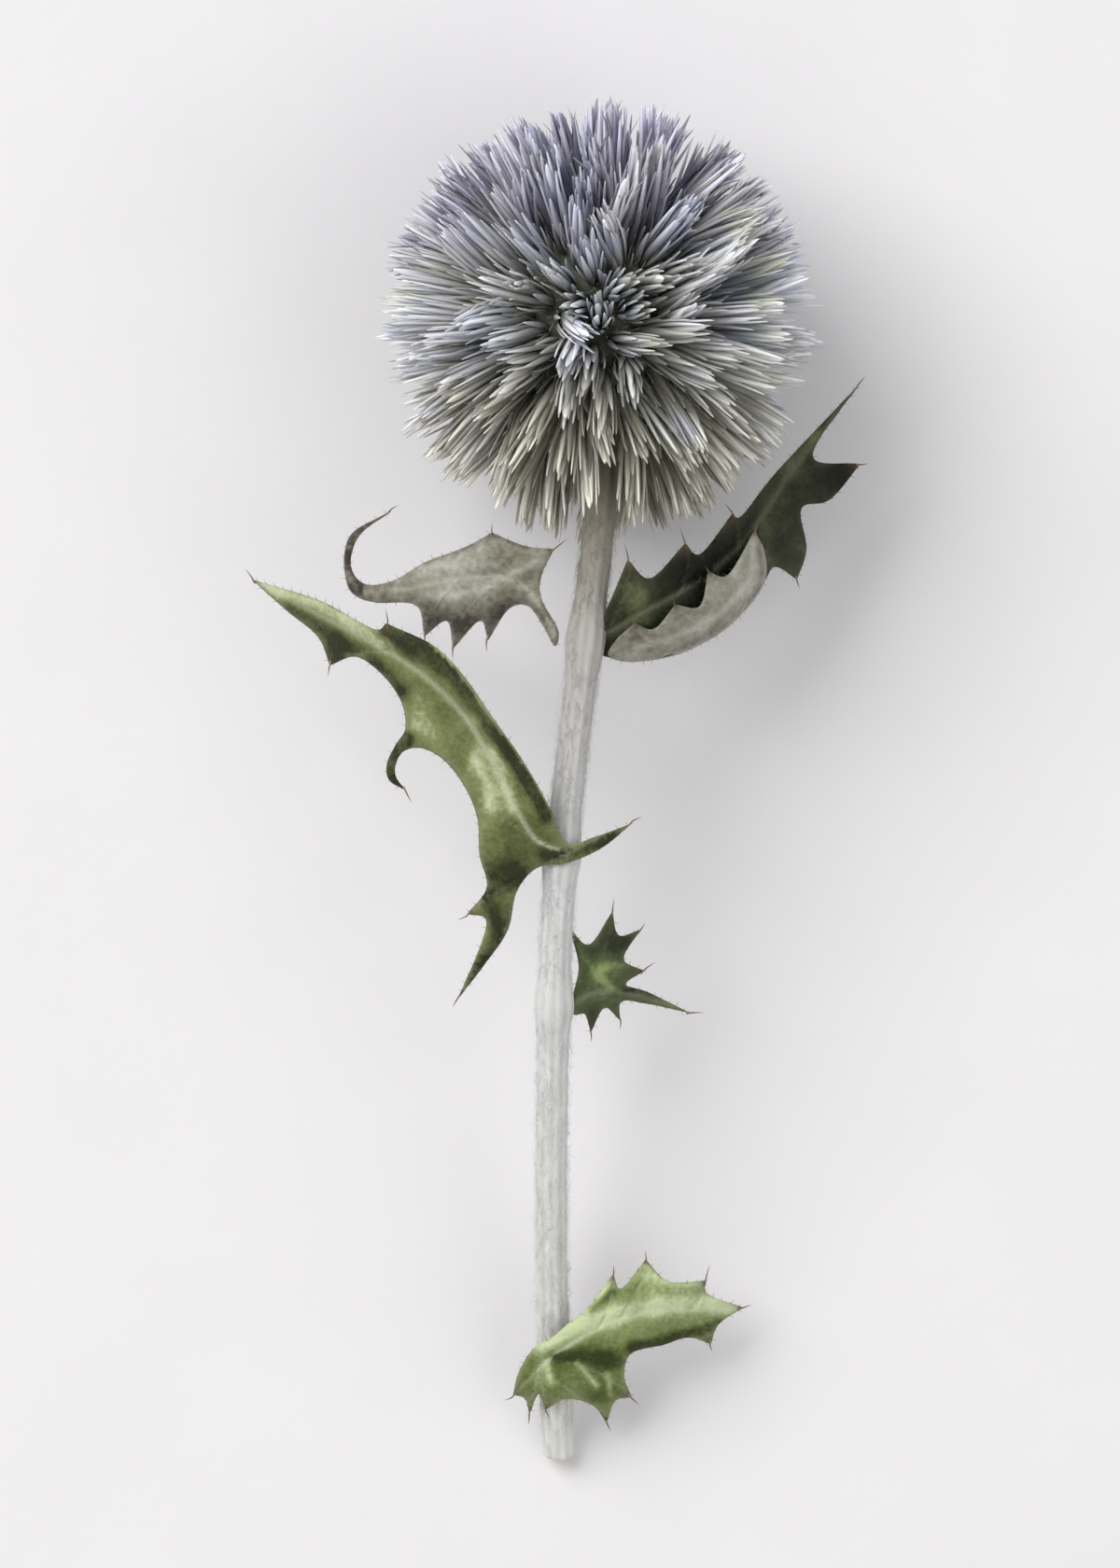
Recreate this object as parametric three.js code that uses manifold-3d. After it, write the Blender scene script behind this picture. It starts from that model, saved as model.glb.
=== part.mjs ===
// A globe thistle flower head, picked on its own leafy stalk and lying on a flat surface.
//
// Millimetres, +Z up. The origin is on the surface, straight under the middle of the globe.
// The stalk runs from the globe towards -Y and comes down to the surface at its cut end.
//
// Pieces: flower_head (a round core set all over with spiky florets), stalk, and one node for
// each leaf. Neighbouring pieces keep JOINT_GAP between them.

import * as THREE from 'three';
import { ConvexHull } from 'three/addons/math/ConvexHull.js';
import { mergeVertices } from 'three/addons/utils/BufferGeometryUtils.js';
import Module from 'manifold-3d';

const wasm = await Module();
wasm.setup();

// ---------------------------------------------------------------- driving dimensions

const GLOBE_RADIUS = 21.4; // middle of the globe to the tips of its florets
const GLOBE_HEIGHT = 19.6; // middle of the globe above the surface, less where it is pressed
const CORE_RADIUS = 11; // the solid receptacle that the florets grow from

const FLORET_COUNT = 280; // over the whole ball, before the patch round the stalk is left bare
const FLORET_POINTS = 5; // spiky bracts to a floret
const FLORET_BELLY = 15.4; // from the middle of the globe to the ring where a floret's bracts part
const FLORET_HEART = 17.2; // and to the hollow between them
const FOOT_RADIUS = 0.82;
const BELLY_RADIUS = 1.36;
const SPLAY_RADIUS = 1.3; // a bract's tip from its floret's own middle line
const SHORTEST_BRACT = 0.93; // share of the full reach

const NECK_RISE = THREE.MathUtils.degToRad(14); // the stalk's slope where it leaves the globe
const BARE_ANGLE = THREE.MathUtils.degToRad(18); // no florets this close to the stalk
const DROOP_ANGLE = THREE.MathUtils.degToRad(50); // florets nearer the stalk than this lean to it
const DROOP_LEAN = THREE.MathUtils.degToRad(5);

const STALK_RADIUS = 1.6; // over the ribs
const STALK_RIBS = 6;
const RIB_DEPTH = 0.25;
const STALK_RINGS = 30;
const SOCKET_DEPTH = 3; // how deep the stalk stands in the core
const NODE_SWELL = 0.45; // the stalk is this much thicker where a leaf grows
const NODE_LENGTH = 2.4;

const BLADE_THICKNESS = 0.6;
const STEEPEST_SHARE = 0.5; // a blade steeper than 60 degrees is thinned like one of 60 degrees

const JOINT_GAP = 0.3;
const SMALLEST_EDGE = 0.04;
const UP = new THREE.Vector3(0, 0, 1);
const DOWN = new THREE.Vector3(0, 0, -1);
const GLOBE_MIDDLE = new THREE.Vector3(0, 0, GLOBE_HEIGHT);
const STALK_DIRECTION = new THREE.Vector3(0, -Math.cos(NECK_RISE), Math.sin(NECK_RISE));

// The middle line of the stalk below the neck, down to the cut.
const STALK_ROUTE = [
  [0.2, -17.7, 23.9],
  [-1.8, -35.5, 25.6],
  [-3.6, -52, 24.1],
  [-4.4, -68, 20.4],
  [-4.6, -92, 11.2],
  [-3.9, -111, 1.2],
];

// Each leaf, as it lies: the midrib from the stalk's skin to the tip, and the corners of its
// outline, counter-clockwise from one side of its foot round to the other. The lobes' spines
// and the notches between them are corners.
const LEAVES = [
  {
    name: 'leaf_upper_right',
    color: 0x5f6b45,
    midrib: [
      [-0.3, -31.2, 25.5], [4, -28.6, 25.8], [9, -25.8, 24.2], [14, -21.6, 20.6],
      [18.2, -15.6, 17.9], [21.4, -11.4, 16.6], [25.4, -6.2, 14.6],
    ],
    outline: [
      [-0.3, -32.4, 25], [3.8, -33.2, 24.4], [8.4, -32.2, 22.6], [12.8, -29.6, 20.2],
      [16, -25.6, 18.2], [16.2, -21.6, 18.4], [19.9, -22.6, 14.8], [19.4, -17.9, 16.9],
      [22.6, -17.4, 15], [25.6, -13.9, 13.6], [20.9, -13.1, 16.9], [25.4, -6.2, 14.6],
      [17.4, -14.7, 18.6], [14, -19, 20.9], [13, -18.9, 21.6], [9.9, -22.8, 24.2],
      [8.4, -21.8, 24.4], [5, -25.2, 26], [2.8, -23.4, 26.6], [1.2, -27.2, 26.6],
      [-0.2, -30.2, 25.6],
    ],
  },
  {
    name: 'leaf_upper_left',
    color: 0xb9b5a2,
    midrib: [
      [-4.1, -31, 25.2], [-6.3, -27, 26], [-9.4, -25.1, 25.9], [-14, -25.3, 24.5],
      [-19, -26.2, 22.3], [-23.4, -26.2, 20.4], [-24.7, -23.4, 19.6], [-23.2, -20.4, 19.2],
      [-20.3, -18.6, 18.6],
    ],
    outline: [
      [-4, -30.2, 25.4], [-5.6, -27.2, 26.4], [-5.6, -25, 26.8], [-4.4, -22.4, 27],
      [-7.2, -22.6, 26.6], [-10.4, -21, 25.2], [-13, -22.7, 24.9], [-17.6, -24.7, 22.9],
      [-22.2, -25.4, 20.8], [-23.8, -22.6, 19.8], [-20.3, -18.6, 18.6], [-24.9, -21.2, 19.2],
      [-25.2, -25.8, 19.8], [-22.6, -27.6, 20.4], [-17.8, -27.9, 22.2], [-17, -30.8, 20.8],
      [-14.8, -29.3, 22.2], [-14.2, -32, 20.9], [-11.6, -29.3, 23.1], [-10.8, -31.2, 22.4],
      [-8.8, -28.2, 24.4], [-6.9, -27.9, 25.1], [-5.4, -29.9, 25.2], [-4.3, -31.8, 24.9],
    ],
  },
  {
    name: 'leaf_mid_left',
    color: 0x77863f,
    midrib: [
      [-3.2, -51.9, 26.6], [-6, -50.6, 26.9], [-7.8, -48, 27.9], [-10, -43.8, 28.2],
      [-12.9, -38.7, 28], [-17.4, -34.3, 26.4], [-22.8, -31, 23.4], [-28.1, -28.2, 19.4],
      [-33.2, -25.4, 15.6],
    ],
    outline: [
      [3.2, -49, 25.9], [-0.4, -50.3, 26.6], [-3.2, -50.9, 26.8], [-4.8, -47.4, 29.4],
      [-7.4, -42.9, 30.4], [-10.2, -38.9, 30.7], [-13.2, -34.6, 29.9], [-16, -31.8, 28.5],
      [-20.6, -29.6, 26.2], [-22, -29.9, 25], [-27.2, -27.3, 20.6], [-33.2, -25.4, 15.6],
      [-30.4, -28.3, 17], [-27.4, -31, 19], [-26.2, -33.6, 19.2], [-23.6, -33.2, 22],
      [-21, -35, 23.4], [-19.2, -37.2, 24.2], [-19.4, -40.8, 23.8], [-19.8, -45.6, 21.6],
      [-17.9, -42.6, 24.2], [-16, -42.5, 25.4], [-13.6, -44.7, 26.6], [-11.6, -48.5, 27],
      [-11.5, -52, 26.4], [-10.9, -55.2, 25.6], [-12.8, -57.8, 24.2], [-11, -58.3, 24.6],
      [-11.5, -60.8, 23.6], [-13.8, -66.2, 20.4], [-11.2, -62.8, 22.4], [-8.9, -59.4, 24.4],
      [-8, -55.6, 26], [-6, -53.3, 26.3], [-3, -52.8, 26.5], [0.2, -51.4, 26.3],
    ],
  },
  {
    name: 'leaf_mid_right',
    color: 0x4f6a2f,
    midrib: [
      [-2.6, -66.6, 20.7], [-0.9, -65.6, 20.3], [1.4, -65.3, 19], [4.4, -66, 16.6],
      [9, -67.6, 12.6],
    ],
    outline: [
      [-2.5, -67.6, 20.2], [-1.4, -67.6, 19.4], [-0.8, -69.4, 17.2], [0.5, -67, 18.4],
      [2, -68.2, 16.2], [2.2, -66.4, 17.6], [4.5, -66.6, 16], [9, -67.6, 12.6], [4.8, -65.5, 16.4],
      [2.6, -64.7, 18.2], [4.4, -63.4, 17], [2.4, -62.2, 19.2], [4, -59.4, 18], [1.9, -59.9, 19.6],
      [1.3, -57.6, 19.8], [-1, -60.8, 21.2], [-3, -58.9, 21], [-2, -62.8, 21.5],
      [-2.5, -65.6, 21.3],
    ],
  },
  {
    name: 'leaf_lower_right',
    color: 0x8c9a52,
    midrib: [
      [-5.8, -102.4, 9.5], [-2.6, -99.9, 10.8], [1.5, -97.7, 10.7], [5.5, -96.8, 10.2],
      [9.5, -96.7, 8.6], [14.2, -96.6, 6.2],
    ],
    outline: [
      [-7.2, -105.6, 5.4], [-6.8, -107.2, 4], [-5.9, -105, 8.3], [-5.2, -106.6, 6.6],
      [-3.2, -105.5, 8.5], [-0.6, -106.2, 5.8], [0.8, -108, 3.8], [1.6, -105.8, 6],
      [3.2, -105.4, 5.6], [2.5, -103.2, 7.4], [3.2, -101, 8.6], [6.3, -100.2, 8], [8.8, -99.5, 7.2],
      [11, -100.2, 5.6], [11.8, -98.2, 6.6], [14.2, -96.6, 6.2], [10.7, -95.2, 8.6],
      [10.5, -93.9, 8.2], [6.8, -93.9, 10.2], [4.6, -91.8, 10], [2.2, -94.6, 11],
      [1.4, -93.2, 10.4], [-1.2, -96.6, 11.2], [-3, -98, 11.2], [-4.6, -99.4, 10.7],
      [-6.3, -100.4, 9.8], [-7.8, -102.8, 7.2], [-8.4, -105.2, 4.8],
    ],
  },
];

// ---------------------------------------------------------------- helpers

// A repeatable random number from 0 to 1.
function makeRandom(seed) {
  let state = seed;
  return () => {
    state = (state * 1664525 + 1013904223) % 4294967296;
    return state / 4294967296;
  };
}

function geometryFrom(points, triangles) {
  const geometry = new THREE.BufferGeometry();
  const numbers = points.flatMap((point) => point.toArray());
  geometry.setAttribute('position', new THREE.Float32BufferAttribute(numbers, 3));
  geometry.setIndex(triangles);
  return geometry;
}

function toSolid(geometry) {
  const bare = geometry.clone();
  bare.deleteAttribute('normal');
  bare.deleteAttribute('uv');
  const merged = mergeVertices(bare, 1e-4);
  return new wasm.Manifold(new wasm.Mesh({
    numProp: 3,
    vertProperties: new Float32Array(merged.attributes.position.array),
    triVerts: new Uint32Array(merged.index.array),
  }));
}

// The largest single body of a solid, as a three.js geometry, with no slivers left by its cuts.
function toGeometry(solid) {
  const bodies = solid.decompose().sort((a, b) => b.volume() - a.volume());
  const mesh = bodies[0].setTolerance(SMALLEST_EDGE).getMesh();
  const geometry = new THREE.BufferGeometry();
  geometry.setAttribute('position', new THREE.BufferAttribute(mesh.vertProperties, mesh.numProp));
  geometry.setIndex(new THREE.BufferAttribute(mesh.triVerts, 1));
  geometry.computeVertexNormals();
  return geometry;
}

// Everything below the surface, as a block to cut away.
function belowSurface() {
  const size = 400;
  const block = new THREE.BoxGeometry(size, size, size);
  block.translate(0, 0, -size / 2);
  return toSolid(block);
}

// A closed skin over a row of rings, each turning about the way that the row runs.
function skinOver(rings) {
  const sides = rings[0].length;
  const points = rings.flat();
  const triangles = [];
  for (let ring = 0; ring + 1 < rings.length; ring += 1) {
    for (let side = 0; side < sides; side += 1) {
      const next = (side + 1) % sides;
      const [a, b] = [ring * sides + side, ring * sides + next];
      triangles.push(a, b, b + sides, a, b + sides, a + sides);
    }
  }
  for (const last of [false, true]) {
    const first = last ? (rings.length - 1) * sides : 0;
    const middle = new THREE.Vector3();
    points.slice(first, first + sides).forEach((point) => middle.addScaledVector(point, 1 / sides));
    points.push(middle);
    for (let side = 0; side < sides; side += 1) {
      const [a, b] = [first + side, first + ((side + 1) % sides)];
      triangles.push(...(last ? [a, b, points.length - 1] : [b, a, points.length - 1]));
    }
  }
  return geometryFrom(points, triangles);
}

// ---------------------------------------------------------------- stalk

const neck = GLOBE_MIDDLE.clone().addScaledVector(STALK_DIRECTION, CORE_RADIUS - SOCKET_DEPTH + JOINT_GAP);
const stalkLine = new THREE.CatmullRomCurve3(
  [neck, ...STALK_ROUTE.map((point) => new THREE.Vector3(...point))],
  false,
  'centripetal',
);

// The stalk is thicker beside each leaf's foot.
function swellAt(point) {
  const nearest = Math.min(...LEAVES.map((leaf) => Math.abs(point.y - leaf.midrib[0][1])));
  return NODE_SWELL * Math.exp(-((nearest / NODE_LENGTH) ** 2));
}

function stalkRing(share, extra) {
  const middle = stalkLine.getPointAt(share);
  const along = stalkLine.getTangentAt(share);
  const across = new THREE.Vector3(1, 0, 0).addScaledVector(along, -along.x).normalize();
  const over = new THREE.Vector3().crossVectors(along, across);
  const sides = 2 * STALK_RIBS;
  return Array.from({ length: sides }, (_, side) => {
    const angle = (2 * Math.PI * side) / sides;
    const groove = side % 2 ? RIB_DEPTH : 0;
    const radius = STALK_RADIUS - groove + swellAt(middle) + extra;
    return middle.clone()
      .addScaledVector(across, radius * Math.cos(angle))
      .addScaledVector(over, radius * Math.sin(angle));
  });
}

function stalkSolid() {
  const rings = Array.from({ length: STALK_RINGS + 1 }, (_, ring) => stalkRing(ring / STALK_RINGS, 0));
  return toSolid(skinOver(rings));
}

// A point of a blade, moved away from the stalk where the two would touch.
const stalkPoints = stalkLine.getSpacedPoints(400);
function clearOfStalk(point) {
  const nearest = stalkPoints.reduce((best, other) => (
    other.distanceToSquared(point) < best.distanceToSquared(point) ? other : best
  ));
  const room = STALK_RADIUS + swellAt(nearest) + JOINT_GAP + 0.6 * BLADE_THICKNESS;
  const away = point.clone().sub(nearest);
  return away.length() < room ? nearest.clone().add(away.setLength(room)) : point;
}

// ---------------------------------------------------------------- flower head

// Directions spread evenly over the whole ball, wound in a spiral about the stalk and turned
// about it until one of them points straight down.
function spiralDirections(count) {
  const goldenAngle = Math.PI * (3 - Math.sqrt(5));
  const heightOf = (index) => 1 - (2 * (index + 0.5)) / count;
  const lowest = Math.round((count * (1 - DOWN.dot(STALK_DIRECTION))) / 2 - 0.5);
  const downward = DOWN.clone().projectOnPlane(STALK_DIRECTION).normalize();
  const sideways = new THREE.Vector3().crossVectors(STALK_DIRECTION, downward);
  const directions = Array.from({ length: count }, (_, index) => {
    const height = heightOf(index);
    const width = Math.sqrt(1 - height * height);
    const angle = goldenAngle * (index - lowest);
    return new THREE.Vector3()
      .addScaledVector(STALK_DIRECTION, height)
      .addScaledVector(downward, width * Math.cos(angle))
      .addScaledVector(sideways, width * Math.sin(angle));
  });
  directions[lowest].copy(DOWN);
  return directions;
}

// Florets near the stalk lean back along it.
function leanToStalk(direction) {
  const angle = direction.angleTo(STALK_DIRECTION);
  const share = THREE.MathUtils.clamp((DROOP_ANGLE - angle) / (DROOP_ANGLE - BARE_ANGLE), 0, 1);
  const axis = new THREE.Vector3().crossVectors(direction, STALK_DIRECTION).normalize();
  return direction.clone().applyAxisAngle(axis, share * DROOP_LEAN);
}

// One floret: a slim foot on the core that widens to a belly and parts into pointed bracts
// round a heart. Its foot is left open, for the core's skin to join.
function floret(direction, random) {
  const across = new THREE.Vector3().crossVectors(direction, UP);
  if (across.length() < 0.1) across.set(1, 0, 0);
  across.normalize();
  const over = new THREE.Vector3().crossVectors(direction, across);
  const tipDirection = leanToStalk(direction);
  const twist = random() * 2 * Math.PI;
  const place = (reach, radius, side) => {
    const share = (reach - CORE_RADIUS) / (GLOBE_RADIUS - CORE_RADIUS);
    const angle = twist + (2 * Math.PI * side) / FLORET_POINTS;
    const height = Math.sqrt(reach * reach - radius * radius);
    return direction.clone().lerp(tipDirection, share).setLength(height)
      .addScaledVector(across, radius * Math.cos(angle))
      .addScaledVector(over, radius * Math.sin(angle))
      .add(GLOBE_MIDDLE);
  };
  const sides = Array.from({ length: FLORET_POINTS }, (_, side) => side);
  const foot = sides.map((side) => place(CORE_RADIUS, FOOT_RADIUS, side));
  const belly = sides.map((side) => place(FLORET_BELLY, BELLY_RADIUS, side));
  const tips = sides.map((side) => {
    const reach = GLOBE_RADIUS * THREE.MathUtils.lerp(SHORTEST_BRACT, 1, random());
    return place(reach, SPLAY_RADIUS, side + 0.5);
  });
  const isLowest = direction.distanceTo(DOWN) < 1e-6; // its filled heart is the resting spot
  const heart = place(isLowest ? GLOBE_RADIUS : FLORET_HEART, 0, 0);
  const eye = place(CORE_RADIUS, 0, 0); // the middle of its foot, where the core's skin is open
  return { foot, belly, tips, heart, eye };
}

function floretTriangles({ foot, belly, tips, heart }) {
  return foot.flatMap((_, side) => {
    const next = (side + 1) % FLORET_POINTS;
    return [
      foot[side], foot[next], belly[next],
      foot[side], belly[next], belly[side],
      belly[side], belly[next], tips[side],
      belly[next], heart, tips[side],
      heart, belly[side], tips[side],
    ];
  });
}

// The core's skin: the hull of all the feet, left open inside each of them.
function coreTriangles(florets) {
  const eyes = new Set(florets.map(({ eye }) => eye));
  const hull = new ConvexHull().setFromPoints([...eyes, ...florets.flatMap(({ foot }) => foot)]);
  return hull.faces.flatMap((face) => {
    const { edge } = face;
    const corners = [edge, edge.next, edge.next.next].map((side) => side.head().point);
    return corners.some((corner) => eyes.has(corner)) ? [] : corners;
  });
}

function flowerHeadSolid() {
  const random = makeRandom(20);
  const florets = spiralDirections(FLORET_COUNT)
    .filter((direction) => direction.angleTo(STALK_DIRECTION) > BARE_ANGLE)
    .map((direction) => floret(direction, random));
  const corners = [...coreTriangles(florets), ...florets.flatMap(floretTriangles)];
  const whole = toSolid(geometryFrom(corners, corners.map((_, index) => index)));
  return whole.subtract(socketSolid()).subtract(belowSurface());
}

// The room in the core that the stalk's end stands in, JOINT_GAP clear of it all round.
function socketSolid() {
  const ring = stalkRing(0, JOINT_GAP);
  const shifted = (distance) => ring.map((point) => point.clone().addScaledVector(STALK_DIRECTION, distance));
  return toSolid(skinOver([shifted(-JOINT_GAP), shifted(SOCKET_DEPTH + 1)]));
}

// ---------------------------------------------------------------- leaves

const edgeKey = (a, b) => `${Math.min(a, b)} ${Math.max(a, b)}`;

// Square to a triangle, and as long as twice its area.
function normalOf(points, [a, b, c]) {
  const side = points[b].clone().sub(points[a]);
  return side.cross(points[c].clone().sub(points[a]));
}

// The two triangles on each inner edge, as the edge's ends and the corner that faces it.
function sharedEdges(triangles) {
  const sides = new Map();
  triangles.forEach((corners, triangle) => {
    corners.forEach((a, place) => {
      const [b, facing] = [corners[(place + 1) % 3], corners[(place + 2) % 3]];
      const key = edgeKey(a, b);
      sides.set(key, [...(sides.get(key) ?? []), { triangle, a, b, facing }]);
    });
  });
  return sides;
}

// Two triangles with a long edge between them are split the other way, where that is shorter.
function evenOut({ points, triangles, fixed }) {
  const length = (a, b) => points[a].distanceTo(points[b]);
  const turn = () => [...sharedEdges(triangles)].some(([key, [one, other]]) => {
    if (!other || fixed.has(key)) return false;
    const { a, b, facing: c } = one;
    const d = other.facing;
    const turned = [[a, d, c], [d, b, c]];
    const isShorter = length(c, d) < length(a, b) - SMALLEST_EDGE;
    if (!isShorter || turned.some((corners) => normalOf(points, corners).z < SMALLEST_EDGE)) return false;
    [triangles[one.triangle], triangles[other.triangle]] = turned;
    return true;
  });
  while (turn());
}

// Each triangle becomes four. A new corner takes its height from the given ones, the nearest most.
function roundBlade({ points, triangles }) {
  const heightAt = (place) => {
    let [sum, weights] = [0, 0];
    points.forEach((point) => {
      const weight = ((point.x - place.x) ** 2 + (point.y - place.y) ** 2) ** -2;
      sum += weight * point.z;
      weights += weight;
    });
    return sum / weights;
  };
  const between = new Map();
  const corners = [...points];
  const split = (a, b) => {
    const key = edgeKey(a, b);
    if (!between.has(key)) {
      const middle = points[a].clone().lerp(points[b], 0.5);
      middle.z = heightAt(middle);
      between.set(key, corners.push(clearOfStalk(middle)) - 1);
    }
    return between.get(key);
  };
  const smaller = triangles.flatMap(([a, b, c]) => {
    const [ab, bc, ca] = [split(a, b), split(b, c), split(c, a)];
    return [[a, ab, ca], [ab, b, bc], [ca, bc, c], [ab, bc, ca]];
  });
  return { points: corners, triangles: smaller };
}

// The blade as a bent sheet: its outline is filled with triangles on both sides of the midrib.
function bladeSheet(leaf) {
  const placed = (list) => list.map((point) => clearOfStalk(new THREE.Vector3(...point)));
  const midrib = placed(leaf.midrib.slice(0, -1));
  const outline = placed(leaf.outline);
  const leafTip = leaf.midrib.at(-1).join();
  const tip = leaf.outline.findIndex((point) => point.join() === leafTip);
  const points = [...outline, ...midrib];
  const along = midrib.map((_, index) => outline.length + index);
  const round = outline.map((_, index) => index);
  const halves = [
    [...round.slice(0, tip + 1), ...along.toReversed()],
    [...along, ...round.slice(tip)],
  ];
  const triangles = halves.flatMap((half) => {
    const contour = half.map((index) => new THREE.Vector2(points[index].x, points[index].y));
    return THREE.ShapeUtils.triangulateShape(contour, []).map((corners) => corners.map((k) => half[k]));
  });
  const facingUp = triangles.map(([a, b, c]) => (normalOf(points, [a, b, c]).z > 0 ? [a, b, c] : [a, c, b]));
  const fixed = new Set(halves.flatMap((half) => (
    half.map((index, place) => edgeKey(index, half[(place + 1) % half.length]))
  )));
  const sheet = { points, triangles: facingUp, fixed };
  evenOut(sheet);
  return sheet;
}

function leafSolid(leaf) {
  const { points, triangles } = roundBlade(bladeSheet(leaf));
  const normals = points.map(() => new THREE.Vector3());
  triangles.forEach((corners) => {
    const normal = normalOf(points, corners);
    corners.forEach((corner) => normals[corner].add(normal));
  });
  // A sloping blade is made thicker upright, to be as thick as a level one across.
  const rise = normals.map((normal) => BLADE_THICKNESS / 2 / Math.max(normal.normalize().z, STEEPEST_SHARE));
  const moved = (sign) => points.map((point, index) => point.clone().addScaledVector(UP, sign * rise[index]));
  const under = points.length;
  const skin = triangles.flatMap(([a, b, c]) => [a, b, c, under + a, under + c, under + b]);
  const rim = [...sharedEdges(triangles).values()].filter((sides) => sides.length === 1);
  rim.forEach(([{ a, b }]) => skin.push(b, a, under + a, b, under + a, under + b));
  return toSolid(geometryFrom([...moved(1), ...moved(-1)], skin));
}

// ---------------------------------------------------------------- the part

function addPiece(group, name, solid, color, roughness) {
  const material = new THREE.MeshStandardMaterial({ color, roughness, metalness: 0 });
  const mesh = new THREE.Mesh(toGeometry(solid), material);
  mesh.name = name;
  group.add(mesh);
}

const globeThistle = new THREE.Group();
addPiece(globeThistle, 'flower_head', flowerHeadSolid(), 0x8286a0, 0.9);
addPiece(globeThistle, 'stalk', stalkSolid().subtract(belowSurface()), 0xc9c4ba, 0.85);

LEAVES.forEach((leaf) => {
  addPiece(globeThistle, leaf.name, leafSolid(leaf), leaf.color, 0.8);
});

export default globeThistle;
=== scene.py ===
# %% [markdown]
# # A globe thistle, picked and dried
#
# A globe thistle carries its flowers in one ball: hundreds of slim florets stand out from a small
# round core, and each floret is wrapped in stiff, keeled bracts that end in needles. Below the
# ball are a ribbed stalk under grey wool and a few spiny leaves, green above and felted beneath.
#
# This lesson builds that flower out of plain mesh arrays. The sizes and places come from a
# measured frame, so the first cell loads it, and every later cell asks it where things are.

# %% Load the measured frame
import math

import bpy
import numpy as np
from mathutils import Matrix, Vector
from mathutils.geometry import delaunay_2d_cdt


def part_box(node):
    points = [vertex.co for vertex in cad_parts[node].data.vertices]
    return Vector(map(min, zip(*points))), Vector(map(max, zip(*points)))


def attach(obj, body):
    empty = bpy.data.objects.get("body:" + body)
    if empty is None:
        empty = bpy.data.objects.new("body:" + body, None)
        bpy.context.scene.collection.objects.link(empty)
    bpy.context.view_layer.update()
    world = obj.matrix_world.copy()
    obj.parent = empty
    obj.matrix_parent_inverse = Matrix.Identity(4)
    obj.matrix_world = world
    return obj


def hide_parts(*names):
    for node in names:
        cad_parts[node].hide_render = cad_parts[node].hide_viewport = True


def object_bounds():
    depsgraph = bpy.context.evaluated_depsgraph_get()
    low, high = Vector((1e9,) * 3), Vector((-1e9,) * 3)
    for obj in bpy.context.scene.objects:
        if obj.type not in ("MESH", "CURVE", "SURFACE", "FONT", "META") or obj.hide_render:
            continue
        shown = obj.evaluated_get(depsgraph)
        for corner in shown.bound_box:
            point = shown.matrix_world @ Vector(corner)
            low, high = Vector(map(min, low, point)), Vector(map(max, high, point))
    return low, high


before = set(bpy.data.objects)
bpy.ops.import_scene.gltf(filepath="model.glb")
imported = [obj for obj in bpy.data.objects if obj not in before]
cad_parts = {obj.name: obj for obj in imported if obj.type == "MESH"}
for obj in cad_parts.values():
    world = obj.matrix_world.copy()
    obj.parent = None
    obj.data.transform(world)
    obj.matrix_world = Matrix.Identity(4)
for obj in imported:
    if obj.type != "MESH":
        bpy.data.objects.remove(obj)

cad_low, cad_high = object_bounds()
MM = 0.001
print("the frame spans, in mm:", [round((h - l) / MM, 1) for l, h in zip(cad_low, cad_high)])

# %% [markdown]
# ## The ball and the stalk as a few numbers
#
# Everything on the head is worked out from the middle of the ball. The frame's box around the
# head gives it: the ball is as wide as the box, and its top touches the box's top. The bottom
# can't be used, because the florets underneath are pressed flat by the flower's weight.
#
# A point inside a node's box is easiest to write as shares of the box, from 0 to 1 each way.
# The stalk's middle line is written like that, from the ball down to the cut end.

# %% Measure the ball and the stalk
def in_box(node, shares):
    """A point given as shares of a node's box, as an array in metres."""
    low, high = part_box(node)
    return np.array([l + (h - l) * share for l, h, share in zip(low, high, shares)])


head_low, head_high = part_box("flower_head")
globe_radius = (head_high.x - head_low.x + head_high.y - head_low.y) / 4
globe_middle = np.array([
    (head_low.x + head_high.x) / 2,
    (head_low.y + head_high.y) / 2,
    head_high.z - globe_radius,
])

STALK_SHARES = [
    (0.773, 0.997, 0.795),
    (0.798, 0.904, 0.880),
    (0.552, 0.733, 0.942),
    (0.331, 0.574, 0.887),
    (0.233, 0.420, 0.751),
    (0.209, 0.189, 0.412),
    (0.294, 0.006, 0.044),
]
stalk_points = np.array([in_box("stalk", shares) for shares in STALK_SHARES])
stalk_direction = stalk_points[0] - globe_middle
stalk_direction /= np.linalg.norm(stalk_direction)
print("ball radius", round(globe_radius / MM, 2), "mm, middle at", np.round(globe_middle / MM, 2))

# %% [markdown]
# ## From arrays to a mesh
#
# A mesh can be drawn by hand, grown by modifiers, or written as arrays of corners and faces.
# Thousands of like parts are quickest as arrays, because numpy works all of them out at once.
# Facts that the material needs later, such as how far along a bract a corner lies, are stored
# on the corners as named attributes, which shader nodes can read.

# %% A helper that writes a mesh
def make_piece(name, corners, faces, facts):
    """A mesh object from corner and face arrays, with one number per corner for each fact."""
    mesh = bpy.data.meshes.new(name)
    mesh.from_pydata(corners.reshape(-1, 3).tolist(), [], faces)
    for fact, values in facts.items():
        layer = mesh.attributes.new(fact, "FLOAT", "POINT")
        layer.data.foreach_set("value", np.asarray(values, dtype=np.float32).ravel())
    mesh.polygons.foreach_set("use_smooth", np.ones(len(mesh.polygons), bool))
    mesh.update()
    piece = bpy.data.objects.new(name, mesh)
    bpy.context.scene.collection.objects.link(piece)
    triangles = sum(len(polygon.vertices) - 2 for polygon in mesh.polygons)
    print(f"{name}: {triangles} triangles")
    return piece


def unit(vectors):
    """The same directions with a length of 1."""
    return vectors / np.linalg.norm(vectors, axis=-1, keepdims=True)


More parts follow.
